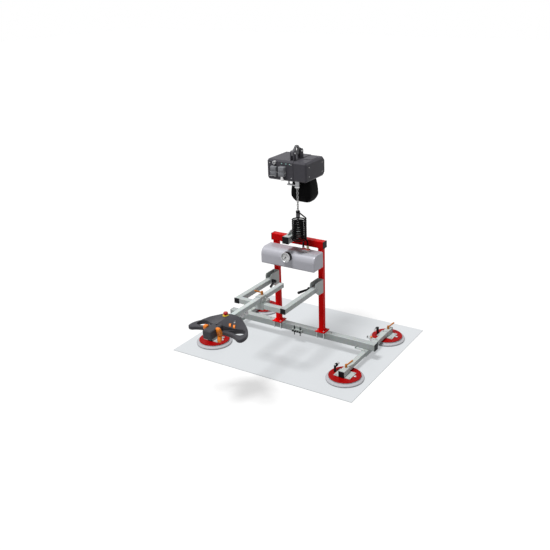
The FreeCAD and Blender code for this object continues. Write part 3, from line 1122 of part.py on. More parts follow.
# Rockers on the right wing and the mushroom stop button
for name, shape in rockers:
    node(made(name + "_form", shape.removeSplitter()), name)
stop_base = stop_height + s.stop_gap
stop_head = Part.makeCylinder(s.stop_diameter / 2, s.stop_head, at(stop_x, stop_y, stop_base), AXES["Z"])
crown_edges = [edge for edge in stop_head.Edges if edge.BoundBox.ZMin > at(0, 0, stop_base + 1).z]
stop_head = stop_head.makeFillet(s.stop_head * 0.45, crown_edges)
stop_stem = Part.makeCylinder(s.stop_stem / 2, stop_base - wing_top - 10,
                              at(stop_x, stop_y, wing_top + 10), AXES["Z"])
node(made("stop_form", stop_head.fuse(stop_stem).removeSplitter()), "stop_button")

# Cross arms under the beam, their sleeves and the sprung catches on the sleeves
fit_wall = "(holder_size - arm_size) / 2 - slide_gap"
holder_open = s.plate_spread_y / 2 + s.holder_overhang - s.holder_length
arm_length = "plate_spread_y + 2 * holder_overhang - 2 * holder_length + 2 * arm_engagement"
sleeve_mid = (s.sleeve_rear - s.sleeve_front) / 2
sleeves = []
for side, name in ((-1, "left_cross_arm"), (1, "right_cross_arm")):
    x = side * s.plate_spread_x / 2
    node(square_tube(name + "_tube", "arm_size", "arm_wall", arm_length, "Y", at(x, 0, arm_mid)), name)
    sleeves.append(square_tube(name + "_sleeve", "holder_size", fit_wall, "sleeve_front + sleeve_rear",
                               "Y", at(x, sleeve_mid, arm_mid)))
    for end, y in (("front", -s.sleeve_front + s.catch_width / 2),
                   ("rear", s.sleeve_rear - s.catch_width / 2)):
        tag = "%s_%s_catch" % (name, end)
        strip = block(tag + "_strip", "catch_reach + holder_size * 0.8", "catch_width", "catch_thickness",
                      at(x + s.holder_size * 0.3 - (s.catch_reach + s.holder_size * 0.8) / 2, y,
                         beam_bottom + s.catch_thickness / 2))
        tip_x = x + s.holder_size * 0.3 - s.catch_reach - s.holder_size * 0.8 + s.catch_thickness / 2
        tip = block(tag + "_tip", "catch_thickness", "catch_width", "catch_upturn",
                    at(tip_x, y, beam_bottom + s.catch_upturn / 2))
        screw = nut(tag + "_screw", "catch_width * 0.3", None, "catch_thickness * 2",
                    at(x, y, beam_bottom + s.catch_thickness), "Z")
        sleeves.append(fuse(tag, strip, tip, screw))
node(group("sleeve_group", *sleeves), "arm_sleeves")

# Suction plates: a red disc with its soft seal, hung on a holder that slides along the arm
seal_r = s.seal_diameter / 2
disc_r = s.disc_diameter / 2
bore_r = s.seal_bore / 2
for side_x, side_y, name in ((1, -1, "front_right"), (1, 1, "rear_right"), (-1, -1, "front_left"),
                             (-1, 1, "rear_left")):
    x = side_x * s.plate_spread_x / 2
    y = side_y * s.plate_spread_y / 2
    # Seal ring, turned: a flat seat under the disc, a sloped flank and a soft lip on the panel
    seal = doc.addObject("PartDesign::Body", name + "_seal_ring")
    sketch = sketch_on(seal, "XZ_Plane")
    polygon(sketch, [(bore_r, s.seal_height), (bore_r, s.seal_height * 0.55),
                     (seal_r - s.seal_lip * 3, s.seal_height * 0.4), (seal_r - s.seal_lip * 1.4, 0),
                     (seal_r - s.seal_lip * 0.2, 0), (seal_r, s.seal_height * 0.3),
                     (seal_r - s.seal_lip * 0.3, s.seal_height * 0.5),
                     (disc_r + s.disc_bevel, s.seal_height * 0.8), (disc_r, s.seal_height)])
    turned = seal.newObject("PartDesign::Revolution", name + "_seal_turned")
    turned.Profile = sketch
    turned.ReferenceAxis = (sketch, ["V_Axis"])
    turned.Angle = 360
    seal.Placement = FreeCAD.Placement(at(x, y, 0), FreeCAD.Rotation())
    node(seal, name + "_seal")
    # Disc: a flat plate with a bevelled rim and a bore under the valve
    disc = doc.addObject("PartDesign::Body", name + "_disc_plate")
    sketch = sketch_on(disc, "XZ_Plane")
    polygon(sketch, [(0, 0), (disc_r, 0), (disc_r, s.disc_thickness - s.disc_bevel),
                     (disc_r - s.disc_bevel, s.disc_thickness), (0, s.disc_thickness)])
    turned = disc.newObject("PartDesign::Revolution", name + "_disc_turned")
    turned.Profile = sketch
    turned.ReferenceAxis = (sketch, ["V_Axis"])
    turned.Angle = 360
    disc.Placement = FreeCAD.Placement(at(x, y, s.seal_height), FreeCAD.Rotation())
    node(disc, name + "_disc")
    # Holder: mounting plate, short tube with a cap at its outer end, four bolts, plug and valve fitting
    closed = y + side_y * (s.holder_overhang - s.cap_flange)
    tube_y = closed - side_y * (s.holder_length - s.cap_flange) / 2
    tube = square_tube(name + "_holder_tube", "holder_size", fit_wall, "holder_length - cap_flange",
                       "Y", at(x, tube_y, arm_mid))
    plate = block(name + "_mount", "mount_length", "mount_width", "mount_thickness",
                  at(x, y, disc_top + s.mount_thickness / 2))
    lever_y = y + 20
    lever_hole = rod(name + "_lever_hole", "lever_stud_diameter / 2 + running_gap",
                     "holder_size / 2 - slide_gap", at(x, lever_y, beam_bottom), "-Z")
    pieces = [cut(name + "_holder_cut", fuse(name + "_holder_solid", tube, plate), lever_hole)]
    pieces.append(end_cap(name + "_cap", "holder_size", fit_wall, at(x, closed, arm_mid),
                          "Y" if side_y > 0 else "-Y"))
    for bolt_x in (-1, 1):
        for bolt_y in (-1, 1):
            place = at(x + bolt_x * (s.mount_length / 2 - s.mount_bolt_inset),
                       y + bolt_y * (s.mount_width / 2 - s.mount_bolt_inset), holder_bottom)
            pieces.append(nut("%s_bolt_%d_%d" % (name, bolt_x + 1, bolt_y + 1), "bolt_diameter * 0.85",
                              None, "nut_height", place, "Z"))
    pieces.append(nut(name + "_plug", "plug_diameter / 2", None, "disc_thickness",
                      at(x + s.plug_offset, y, disc_top), "Z"))
    valve_x = x - s.valve_offset
    toward = "-Y" if side_y > 0 else "Y"
    valve_stem = rod(name + "_valve_stem", "valve_stem_diameter / 2", "valve_height",
                     at(valve_x, y, disc_top), "Z")
    valve_knee = disc_top + s.valve_height - s.spool_diameter / 2 - 3
    spool_start = at(valve_x, y, valve_knee)
    spool = rod(name + "_spool", "spool_diameter / 2", "spool_length", spool_start, toward)
    stop_start = spool_start + AXES[toward] * (s.spool_length - 4)
    stop_ring = rod(name + "_spool_end", "valve_slide_diameter / 2 - 3", "4", stop_start, toward)
    pieces.append(fuse(name + "_valve", valve_stem, spool, stop_ring))
    node(group(name + "_holder_parts", *pieces), name + "_holder")
    # Valve slide: a black ring that is pushed along the spool
    slide_start = spool_start + AXES[toward] * (s.valve_stem_diameter / 2 + 2)
    ring = rod(name + "_slide_ring", "valve_slide_diameter / 2", "valve_slide_length", slide_start,
               toward)
    room = rod(name + "_slide_bore", "spool_diameter / 2 + running_gap", "valve_slide_length",
               slide_start, toward)
    node(cut(name + "_slide_cut", ring, room), name + "_valve_slide")
    # Orange clamp lever on top of the holder
    stud = beam_bottom - (arm_mid + s.arm_size / 2)
    node(clamp_lever(name + "_lever_form", at(x, lever_y, beam_bottom + s.slide_gap), "Z",
                     Vector(0.34, 0.94, 0), s.lever_hub_diameter,
                     s.lever_hub_height, s.lever_length, s.lever_rise, stud), name + "_clamp_lever")

# Recompute, test every object and write one file for each sub-part
doc.recompute()
faults = [item.Name for item in doc.Objects if "Invalid" in item.State or "Error" in item.State]
for item in nodes:
    if item.Shape.isNull() or not item.Shape.isValid() or not item.Shape.Solids:
        faults.append(item.Label)
if faults:
    raise RuntimeError("failed objects: " + ", ".join(faults))
os.makedirs("parts", exist_ok=True)
for item in nodes:
    item.Shape.exportStep("parts/%s.step" % item.Label)
print("%d sub-parts, %d solids" % (len(nodes), sum(len(item.Shape.Solids) for item in nodes)))
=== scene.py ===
import math

import bmesh
import bpy
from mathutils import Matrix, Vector


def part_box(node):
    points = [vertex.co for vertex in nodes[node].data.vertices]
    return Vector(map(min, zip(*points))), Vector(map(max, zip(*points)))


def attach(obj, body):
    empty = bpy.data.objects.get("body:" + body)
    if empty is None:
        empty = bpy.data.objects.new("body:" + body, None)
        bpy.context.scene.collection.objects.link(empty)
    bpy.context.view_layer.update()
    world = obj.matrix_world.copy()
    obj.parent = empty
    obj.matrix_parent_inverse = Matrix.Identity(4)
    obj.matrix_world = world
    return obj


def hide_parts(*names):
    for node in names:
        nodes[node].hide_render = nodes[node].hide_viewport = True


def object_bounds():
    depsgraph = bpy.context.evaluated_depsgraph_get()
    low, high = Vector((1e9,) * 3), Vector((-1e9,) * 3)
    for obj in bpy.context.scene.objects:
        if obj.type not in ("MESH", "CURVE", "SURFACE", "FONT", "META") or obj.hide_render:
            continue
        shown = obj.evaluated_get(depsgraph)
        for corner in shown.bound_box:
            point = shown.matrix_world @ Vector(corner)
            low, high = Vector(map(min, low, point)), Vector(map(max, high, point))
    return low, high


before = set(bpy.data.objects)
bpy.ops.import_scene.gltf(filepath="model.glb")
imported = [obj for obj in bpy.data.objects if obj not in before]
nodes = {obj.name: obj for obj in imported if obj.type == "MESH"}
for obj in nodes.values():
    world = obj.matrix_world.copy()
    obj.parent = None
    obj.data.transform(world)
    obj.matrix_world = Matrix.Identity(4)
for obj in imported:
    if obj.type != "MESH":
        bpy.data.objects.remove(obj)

cad_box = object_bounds()
scene = bpy.context.scene

# Studio: a pale glass sheet under the seals on a white floor, one soft high lamp and an even sky.
# The camera stands to the front right of the lifter, above the height of the handle.
scene.view_settings.view_transform = "Standard"
panel_height = cad_box[0].z
camera_data = bpy.data.cameras.new("studio_camera")
camera_data.sensor_width = 36.0
camera_data.lens = 48.76
camera_data.shift_x = -0.0551
camera_data.shift_y = -0.0029
camera_data.clip_end = 60.0
camera = bpy.data.objects.new("studio_camera", camera_data)
camera_tilt = math.radians(67.873)
camera_roll = math.radians(0.997)
camera_heading = math.radians(30.862)
camera.location = (3.1502, -5.0878, panel_height + 3.0799)
camera.rotation_euler = (camera_tilt, camera_roll, camera_heading)
scene.collection.objects.link(camera)
scene.camera = camera


def backdrop_rays(tree):
    """A mask for the rays that show the backdrop: to the camera, off metal and through glass."""
    rays = tree.nodes.new("ShaderNodeLightPath")
    seen = rays.outputs["Is Camera Ray"]
    for kind in ("Is Glossy Ray", "Is Transmission Ray"):
        either = tree.nodes.new("ShaderNodeMath")
        either.operation = "MAXIMUM"
        tree.links.new(seen, either.inputs[0])
        tree.links.new(rays.outputs[kind], either.inputs[1])
        seen = either.outputs[0]
    return seen


def stage_paint(name, colour, glow, lit, sheen):
    """A backdrop finish: matt paint with a glow that lights nothing but shows the backdrop pale."""
    material = bpy.data.materials.new(name)
    material.use_nodes = True
    tree = material.node_tree
    shader = tree.nodes["Principled BSDF"]
    shader.inputs["Base Color"].default_value = (lit * colour[0], lit * colour[1], lit * colour[2], 1)
    shader.inputs["Roughness"].default_value = sheen
    shader.inputs["Specular IOR Level"].default_value = 0.1
    shader.inputs["Emission Color"].default_value = (*colour, 1)
    level = tree.nodes.new("ShaderNodeMapRange")
    level.inputs["To Min"].default_value = 0.0
    level.inputs["To Max"].default_value = glow
    tree.links.new(backdrop_rays(tree), level.inputs["Value"])
    tree.links.new(level.outputs["Result"], shader.inputs["Emission Strength"])
    return material


floor_reach = 30.0
sheet_thickness = 0.005
sheet_gap = 0.0005
floor_gap = 0.001
floor_mesh = bpy.data.meshes.new("studio_floor")
floor_mesh.from_pydata([(-floor_reach, -floor_reach, 0), (floor_reach, -floor_reach, 0),
                        (floor_reach, floor_reach, 0), (-floor_reach, floor_reach, 0)], [], [(0, 1, 2, 3)])
floor_paint = stage_paint("studio_floor_paint", (1.0, 1.0, 1.0), glow=0.57, lit=0.36, sheen=0.6)
floor_mesh.materials.append(floor_paint)
floor = bpy.data.objects.new("studio_floor", floor_mesh)
floor.location.z = panel_height - sheet_thickness - floor_gap
scene.collection.objects.link(floor)
sheet_low = Vector((-0.890, -0.700, panel_height - sheet_thickness - sheet_gap))
sheet_high = Vector((0.880, 0.714, panel_height - sheet_gap))
sheet_shape = bmesh.new()
bmesh.ops.create_cube(sheet_shape, size=1.0)
for vert in sheet_shape.verts:
    share = vert.co + Vector((0.5, 0.5, 0.5))
    vert.co = Vector([low + (high - low) * part for low, high, part in zip(sheet_low, sheet_high, share)])
sheet_mesh = bpy.data.meshes.new("studio_sheet")
sheet_shape.to_mesh(sheet_mesh)
sheet_shape.free()
sheet_face = stage_paint("studio_sheet_face", (0.855, 0.885, 0.91), glow=0.46, lit=0.30, sheen=0.35)
sheet_edge = stage_paint("studio_sheet_edge", (0.52, 0.55, 0.57), glow=0.45, lit=0.5, sheen=0.3)
sheet_mesh.materials.append(sheet_face)
sheet_mesh.materials.append(sheet_edge)
for face in sheet_mesh.polygons:
    face.material_index = 0 if abs(face.normal.z) > 0.5 else 1
studio_sheet = bpy.data.objects.new("studio_sheet", sheet_mesh)
scene.collection.objects.link(studio_sheet)

sky_light = 0.33
sky_seen = 1.0
world = bpy.data.worlds.new("studio_sky")
scene.world = world
world.use_nodes = True
tree = world.node_tree
tree.nodes.clear()
level = tree.nodes.new("ShaderNodeMapRange")
level.inputs["To Min"].default_value = sky_light
level.inputs["To Max"].default_value = sky_seen
tree.links.new(backdrop_rays(tree), level.inputs["Value"])
sky = tree.nodes.new("ShaderNodeBackground")
sky.inputs["Color"].default_value = (1.0, 1.0, 1.0, 1)
tree.links.new(level.outputs["Result"], sky.inputs["Strength"])
sky_out = tree.nodes.new("ShaderNodeOutputWorld")
tree.links.new(sky.outputs[0], sky_out.inputs["Surface"])

lamp_way = Vector((0.13, 0.32, -1.0))
lamp_data = bpy.data.lights.new("key_lamp", "SUN")
lamp_data.energy = 3.3
lamp_data.angle = math.radians(15)
lamp = bpy.data.objects.new("key_lamp", lamp_data)
lamp.rotation_euler = lamp_way.to_track_quat("-Z", "Y").to_euler()
scene.collection.objects.link(lamp)

# Hoist housing: two cast aluminium halves, sprayed with dark grey textured paint and screwed at the seam.
# The coat has a fine pebble grain. Three small lamps sit in the front, above the plugs.


def shader_group(name, inputs, outputs):
    """An empty shader node group with named sockets and its two end nodes."""
    group = bpy.data.node_groups.new(name, "ShaderNodeTree")
    for kind, label, value in inputs:
        socket = group.interface.new_socket(label, in_out="INPUT", socket_type=kind)
        socket.default_value = value
    for kind, label in outputs:
        group.interface.new_socket(label, in_out="OUTPUT", socket_type=kind)
    return group, group.nodes.new("NodeGroupInput"), group.nodes.new("NodeGroupOutput")


FLOAT = "NodeSocketFloat"
COLOUR = "NodeSocketColor"
NORMAL = "NodeSocketVector"


def build_patina():
    """Uneven tone, cloudy sheen and a fine grain for any coated surface."""
    group, start, end = shader_group(
        "patina",
        [(COLOUR, "Colour", (0.5, 0.5, 0.5, 1)), (FLOAT, "Tone", 0.1), (FLOAT, "Sheen", 0.4),
         (FLOAT, "Cloud", 0.1), (FLOAT, "Grain Size", 900.0), (FLOAT, "Grain Depth", 0.1)],
        [(COLOUR, "Colour"), (FLOAT, "Roughness"), (NORMAL, "Normal")])
    links = group.links
    place = group.nodes.new("ShaderNodeTexCoord")
    drift = group.nodes.new("ShaderNodeTexNoise")
    drift.inputs["Scale"].default_value = 5.0
    drift.inputs["Detail"].default_value = 6.0
    links.new(place.outputs["Object"], drift.inputs["Vector"])
    speck = group.nodes.new("ShaderNodeTexNoise")
    speck.inputs["Scale"].default_value = 60.0
    speck.inputs["Detail"].default_value = 4.0
    links.new(place.outputs["Object"], speck.inputs["Vector"])
    mixed = group.nodes.new("ShaderNodeMath")
    mixed.operation = "ADD"
    links.new(drift.outputs["Fac"], mixed.inputs[0])
    links.new(speck.outputs["Fac"], mixed.inputs[1])
    centred = group.nodes.new("ShaderNodeMath")
    centred.operation = "SUBTRACT"
    centred.inputs[1].default_value = 1.0
    links.new(mixed.outputs[0], centred.inputs[0])
    tone = group.nodes.new("ShaderNodeMath")
    tone.operation = "MULTIPLY_ADD"
    tone.inputs[2].default_value = 1.0
    links.new(centred.outputs[0], tone.inputs[0])
    links.new(start.outputs["Tone"], tone.inputs[1])
    shade = group.nodes.new("ShaderNodeVectorMath")
    shade.operation = "SCALE"
    links.new(start.outputs["Colour"], shade.inputs[0])
    links.new(tone.outputs[0], shade.inputs["Scale"])
    links.new(shade.outputs[0], end.inputs["Colour"])
    cloud = group.nodes.new("ShaderNodeMath")
    cloud.operation = "MULTIPLY_ADD"
    links.new(centred.outputs[0], cloud.inputs[0])
    links.new(start.outputs["Cloud"], cloud.inputs[1])
    links.new(start.outputs["Sheen"], cloud.inputs[2])
    links.new(cloud.outputs[0], end.inputs["Roughness"])
    grain = group.nodes.new("ShaderNodeTexNoise")
    grain.inputs["Detail"].default_value = 2.0
    links.new(place.outputs["Object"], grain.inputs["Vector"])
    links.new(start.outputs["Grain Size"], grain.inputs["Scale"])
    relief = group.nodes.new("ShaderNodeBump")
    relief.inputs["Distance"].default_value = 0.0006
    links.new(start.outputs["Grain Depth"], relief.inputs["Strength"])
    links.new(grain.outputs["Fac"], relief.inputs["Height"])
    links.new(relief.outputs["Normal"], end.inputs["Normal"])
    return group


patina = build_patina()


def finish_of(name, colour, tone, sheen, cloud, grain_size, grain_depth,
              metallic=0.0, coat=0.0, specular=0.4):
    """A coated, plated or moulded finish from the patina group and one Principled shader."""
    material = bpy.data.materials.new(name)
    material.use_nodes = True
    tree = material.node_tree
    shader = tree.nodes["Principled BSDF"]
    skin = tree.nodes.new("ShaderNodeGroup")
    skin.node_tree = patina
    skin.inputs["Colour"].default_value = (*colour, 1)
    skin.inputs["Tone"].default_value = tone
    skin.inputs["Sheen"].default_value = sheen
    skin.inputs["Cloud"].default_value = cloud
    skin.inputs["Grain Size"].default_value = grain_size
    skin.inputs["Grain Depth"].default_value = grain_depth
    tree.links.new(skin.outputs["Colour"], shader.inputs["Base Color"])
    tree.links.new(skin.outputs["Roughness"], shader.inputs["Roughness"])
    tree.links.new(skin.outputs["Normal"], shader.inputs["Normal"])
    shader.inputs["Metallic"].default_value = metallic
    shader.inputs["Coat Weight"].default_value = coat
    shader.inputs["Specular IOR Level"].default_value = specular
    material.diffuse_color = (*colour, 1)
    return material


def dress(name, material):
    """Give a CAD node one finish all over."""
    mesh = nodes[name].data
    mesh.materials.clear()
    mesh.materials.append(material)
    for face in mesh.polygons:
        face.material_index = 0


def dress_part(name, material, test):
    """Give a second finish to the faces of a CAD node whose centre passes a test."""
    mesh = nodes[name].data
    mesh.materials.append(material)
    index = len(mesh.materials) - 1
    for face in mesh.polygons:
        if test(face.center):
            face.material_index = index


def add_turned(shape, profile, centre, axis, segments=20):
    """A turned form in a bmesh: a profile of (radius, height) pairs spun about an axis from a centre."""
    spin = Vector(axis).to_track_quat("Z", "Y").to_matrix()
    rings = []
    for radius, height in profile:
        count = 1 if radius < 1e-7 else segments
        ring = []
        for k in range(count):
            angle = 2 * math.pi * k / segments
            spot = Vector((radius * math.cos(angle), radius * math.sin(angle), height))
            ring.append(shape.verts.new(Vector(centre) + spin @ spot))
        rings.append(ring)
    for first, second in zip(rings, rings[1:]):
        for k in range(segments):
            corners = [first[k % len(first)], first[(k + 1) % len(first)],
                       second[(k + 1) % len(second)], second[k % len(second)]]
            corners = list(dict.fromkeys(corners))
            if len(corners) > 2:
                shape.faces.new(corners)


def add_block(shape, low, high, bevel):
    """A block in a bmesh between two corners, with its edges eased."""
    made = bmesh.ops.create_cube(shape, size=1.0)["verts"]
    middle = (Vector(low) + Vector(high)) / 2
    span = Vector(high) - Vector(low)
    for vert in made:
        vert.co = Vector((vert.co.x * span.x, vert.co.y * span.y, vert.co.z * span.z)) + middle
    edges = list({edge for vert in made for edge in vert.link_edges})
    bmesh.ops.bevel(shape, geom=edges, offset=bevel, segments=2, profile=0.5, affect="EDGES")


def new_piece(name, shape, body, material, smooth=True):
    """Turn a bmesh into a piece that rides a body and has a slot and a finish."""
    bmesh.ops.recalc_face_normals(shape, faces=shape.faces)
    mesh = bpy.data.meshes.new(name)
    shape.to_mesh(mesh)
    shape.free()
    mesh.materials.append(material)
    if smooth:
        mesh.polygons.foreach_set("use_smooth", [True] * len(mesh.polygons))
        mesh.set_sharp_from_angle(angle=math.radians(35))
    piece = bpy.data.objects.new(name, mesh)
    scene.collection.objects.link(piece)
    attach(piece, body)
    return piece


FRONT = (0, -1, 0)
UP = (0, 0, 1)
DOWN = (0, 0, -1)
SCREW = ((0.0035, 0.0), (0.0035, 0.0018), (0.0031, 0.0023), (0.0018, 0.0023), (0.0018, 0.0008), (0.0, 0.0008))
LAMP_DOME = ((0.0050, 0.0), (0.0050, 0.002), (0.0042, 0.0034), (0.0022, 0.0045), (0.0, 0.0048))
hoist_coat = finish_of("hoist_coat", (0.062, 0.060, 0.070), tone=0.25, sheen=0.46, cloud=0.12,
                       grain_size=1500, grain_depth=0.35, specular=0.10)
bright_steel = finish_of("bright_steel", (0.66, 0.66, 0.66), tone=0.12, sheen=0.28, cloud=0.1,
                         grain_size=400, grain_depth=0.08, metallic=0.9)
dress("hoist_housing", hoist_coat)
dress("hoist_end_cover", hoist_coat)
house_low, house_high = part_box("hoist_housing")
cover_low, cover_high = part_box("hoist_end_cover")
hoist_top = cover_high.z
hoist_front = house_low.y
front_inset = 0.030
seam_inset = 0.016
end_inset = 0.045
rear_inset = 0.055
screws = bmesh.new()
for x in (house_low.x + front_inset, house_high.x - seam_inset):
    for z in (house_low.z + front_inset, hoist_top - front_inset):
        add_turned(screws, SCREW, (x, hoist_front, z), FRONT)
for y in (cover_low.y + end_inset, cover_high.y - rear_inset):
    for z in (cover_low.z + end_inset, hoist_top - end_inset):
        add_turned(screws, SCREW, (cover_high.x, y, z), (1, 0, 0))
new_piece("hoist_screws", screws, "hoist", bright_steel)
lamp_drop = 0.027
lamps = bmesh.new()
for x in (-0.083, -0.043, -0.008):
    add_turned(lamps, LAMP_DOME, (x, hoist_front, hoist_top - lamp_drop), FRONT)
lamp_lens = finish_of("lamp_lens", (0.30, 0.55, 0.52), tone=0.05, sheen=0.12, cloud=0.04,
                      grain_size=300, grain_depth=0.02, coat=0.6)
new_piece("hoist_lamps", lamps, "hoist", lamp_lens)

# Suspension eye: a forged plate with a blackened skin. The hoist hangs from its bore.
# Two bright cross pins with washers go through it.
forged_steel = finish_of("forged_steel", (0.10, 0.10, 0.107), tone=0.3, sheen=0.36, cloud=0.12,
                         grain_size=700, grain_depth=0.3, metallic=0.6)
dress("suspension_eye", forged_steel)
pin_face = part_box("suspension_eye")[1].x * 0.6
dress_part("suspension_eye", bright_steel, lambda c: abs(c.x) > pin_face)

# Plug hoods: two moulded plug housings with bow latches, a metal gland under the second and a key knob.
# The moulding is a lighter grey than the hoist, and the gland and knob are nickel plated.
hood_plastic = finish_of("hood_plastic", (0.19, 0.195, 0.21), tone=0.15, sheen=0.5, cloud=0.1,
                         grain_size=1200, grain_depth=0.2, specular=0.3)
dress("plug_hoods", hood_plastic)
hood_low, hood_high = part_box("plug_hoods")
gland_top = hood_low.z + 0.0365
knob_foot = hood_high.z - 0.0285
knob_edge = -0.13
dress_part("plug_hoods", bright_steel,
           lambda c: c.z < gland_top or (c.z > knob_foot and c.x < knob_edge))
hood_width = 0.058
hood_middle = (house_low.z + hoist_top) / 2 - 0.006
hoods = ((-0.155, hoist_front - 0.0252), (-0.073, hoist_front - 0.036))
lid_sink = 0.002
lids = bmesh.new()
for x, front in hoods:
    for share, stand, foot, head, ease in ((0.42, 0.0022, 0.004, 0.030, 0.0012),
                                           (0.36, 0.0016, -0.030, -0.002, 0.0010)):
        half = hood_width * share
        add_block(lids, (x - half, front - stand, hood_middle + foot),
                  (x + half, front + lid_sink, hood_middle + head), ease)
new_piece("hood_lids", lids, "hoist", hood_plastic)
BOW_PIVOT = ((0.004, 0.0), (0.004, 0.0035), (0.003, 0.0045), (0.0, 0.0045))
bow_width = 0.003
bow_setback = 0.006
bow_gap = 0.002
bow_low = hood_middle - 0.012
bow_high = hood_middle - 0.005
pivot_spot = (hoist_front - 0.008, hood_middle - 0.0085)
bows = bmesh.new()
for x, front in hoods:
    for side in (-1, 1):
        near = x + side * hood_width / 2
        far = near + side * bow_width
        add_block(bows, (min(near, far), front + bow_setback, bow_low),
                  (max(near, far), hoist_front - bow_gap, bow_high), bevel=0.0008)
        add_turned(bows, BOW_PIVOT, (near, *pivot_spot), (side, 0, 0))
new_piece("hood_latches", bows, "hoist", bright_steel)
KNOB_CAP = ((0.0095, 0.0), (0.0095, 0.0035), (0.0083, 0.0045), (0.0, 0.0045))
knob_x = -0.148
knob_drop = 0.022
plug_out = hoist_front - 0.018
knob_mark = bmesh.new()
add_turned(knob_mark, KNOB_CAP, (knob_x, plug_out, hoist_top - knob_drop), FRONT, segments=24)
new_piece("key_knob_cap", knob_mark, "hoist", hood_plastic)
GLAND_NUT = ((0.0135, 0.0), (0.0142, 0.0012), (0.0142, 0.0088), (0.0135, 0.010), (0.011, 0.010))
gland_x = hoods[1][0]
gland_rise = 0.012
gland_nut = bmesh.new()
add_turned(gland_nut, GLAND_NUT, (gland_x, plug_out, hood_low.z + gland_rise), UP, segments=6)
new_piece("hood_gland_nut", gland_nut, "hoist", bright_steel, smooth=False)

# Chain guide: a bored steel bush under the hoist that leads the chain to the load wheel.
# The flat limit lever stands beside it, and a pinned stop collar sits on its foot.
guide_steel = finish_of("guide_steel", (0.36, 0.36, 0.37), tone=0.2, sheen=0.36, cloud=0.1,
                        grain_size=500, grain_depth=0.15, metallic=0.8)
dress("chain_guide", guide_steel)
guide_low, guide_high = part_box("chain_guide")
bush_radius = guide_high.x
collar_radius = bush_radius + 0.003
collar_rise = 0.002
collar = bmesh.new()
add_turned(collar, ((bush_radius, 0.0), (collar_radius, 0.001), (collar_radius, 0.009), (bush_radius, 0.010)),
           (0, 0, guide_low.z + collar_rise), UP, segments=32)
new_piece("guide_collar", collar, "hoist", bright_steel)

# Chain bag: coated cloth sewn into a deep sack under the hoist's rear, wider below its bound mouth.
# It is a lofted shell whose walls belly out between the corners and crease above the stiff bottom.
bag_low, bag_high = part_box("chain_bag")
bag_mid = (bag_low + bag_high) / 2
bag_half = (bag_high - bag_low) / 2
bag_levels = ((1.0, 0.81), (0.965, 0.83), (0.93, 0.835), (0.80, 0.90), (0.62, 0.975), (0.45, 1.01),
              (0.30, 1.02), (0.21, 1.0), (0.10, 0.88), (0.03, 0.78), (0.0, 0.73))
around = 56
corner_power = 0.36
fold_depth = 0.010


def bag_ring(height, size):
    """One level of the sack: a rounded oblong with soft folds that deepen toward the bottom."""
    spots = []
    for k in range(around):
        angle = 2 * math.pi * k / around
        across = math.copysign(abs(math.cos(angle)) ** corner_power, math.cos(angle))
        along = math.copysign(abs(math.sin(angle)) ** corner_power, math.sin(angle))
        fold = 1 - fold_depth * (1 - height) * (1 + math.sin(7 * angle + 9 * height))
        fold -= fold_depth * math.sin(3 * angle + 5 * height) ** 2
        spots.append(Vector((bag_mid.x + bag_half.x * size * across * fold,
                             bag_mid.y + bag_half.y * size * along * fold,
                             bag_low.z + 2 * bag_half.z * height)))
    return spots


sack = bmesh.new()
rings = [[sack.verts.new(spot) for spot in bag_ring(height, size)] for height, size in bag_levels]
for upper, lower in zip(rings, rings[1:]):
    for k in range(around):
        sack.faces.new((upper[k], lower[k], lower[(k + 1) % around], upper[(k + 1) % around]))
for ring in (rings[-1], rings[0]):
    centre = sack.verts.new(sum((vert.co for vert in ring), Vector()) / around)
    for k in range(around):
        sack.faces.new((ring[k], ring[(k + 1) % around], centre))


def bag_cloth():
    """Black coated cloth: a plain weave in the relief, with an uneven sheen."""
    material = finish_of("bag_cloth", (0.0022, 0.0022, 0.0024), tone=0.5, sheen=0.70, cloud=0.15,
                         grain_size=300, grain_depth=0.1, specular=0.06)
    tree = material.node_tree
    shader = tree.nodes["Principled BSDF"]
    place = tree.nodes.new("ShaderNodeTexCoord")
    threads = []
    for direction in ("X", "Z"):
        thread = tree.nodes.new("ShaderNodeTexWave")
        thread.bands_direction = direction
        thread.inputs["Scale"].default_value = 260.0
        tree.links.new(place.outputs["Object"], thread.inputs["Vector"])
        threads.append(thread)
    weave = tree.nodes.new("ShaderNodeMath")
    weave.operation = "MULTIPLY"
    tree.links.new(threads[0].outputs["Fac"], weave.inputs[0])
    tree.links.new(threads[1].outputs["Fac"], weave.inputs[1])
    relief = tree.nodes.new("ShaderNodeBump")
    relief.inputs["Strength"].default_value = 0.35
    relief.inputs["Distance"].default_value = 0.0006
    tree.links.new(weave.outputs[0], relief.inputs["Height"])
    tree.links.new(relief.outputs["Normal"], shader.inputs["Normal"])
    return material


cloth = bag_cloth()
chain_sack = new_piece("chain_sack", sack, "hoist", cloth)
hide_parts("chain_bag")
hem_radius = 0.0026
hem_sides = 8
hem_angles = [math.pi * 2 * n / hem_sides for n in range(hem_sides)]
hem = bmesh.new()
for height, size in ((0.945, 0.845), (0.985, 0.83)):
    loops = []
    for spot in bag_ring(height, size):
        out = Vector((spot.x - bag_mid.x, spot.y - bag_mid.y, 0)).normalized()
        loops.append([hem.verts.new(spot + out * hem_radius * math.cos(a)
                                    + Vector((0, 0, hem_radius * math.sin(a)))) for a in hem_angles])
    for k in range(around):
        near, far = loops[k], loops[(k + 1) % around]
        for n in range(hem_sides):
            hem.faces.new((near[n], far[n], far[(n + 1) % hem_sides], near[(n + 1) % hem_sides]))
new_piece("bag_hem", hem, "hoist", cloth)

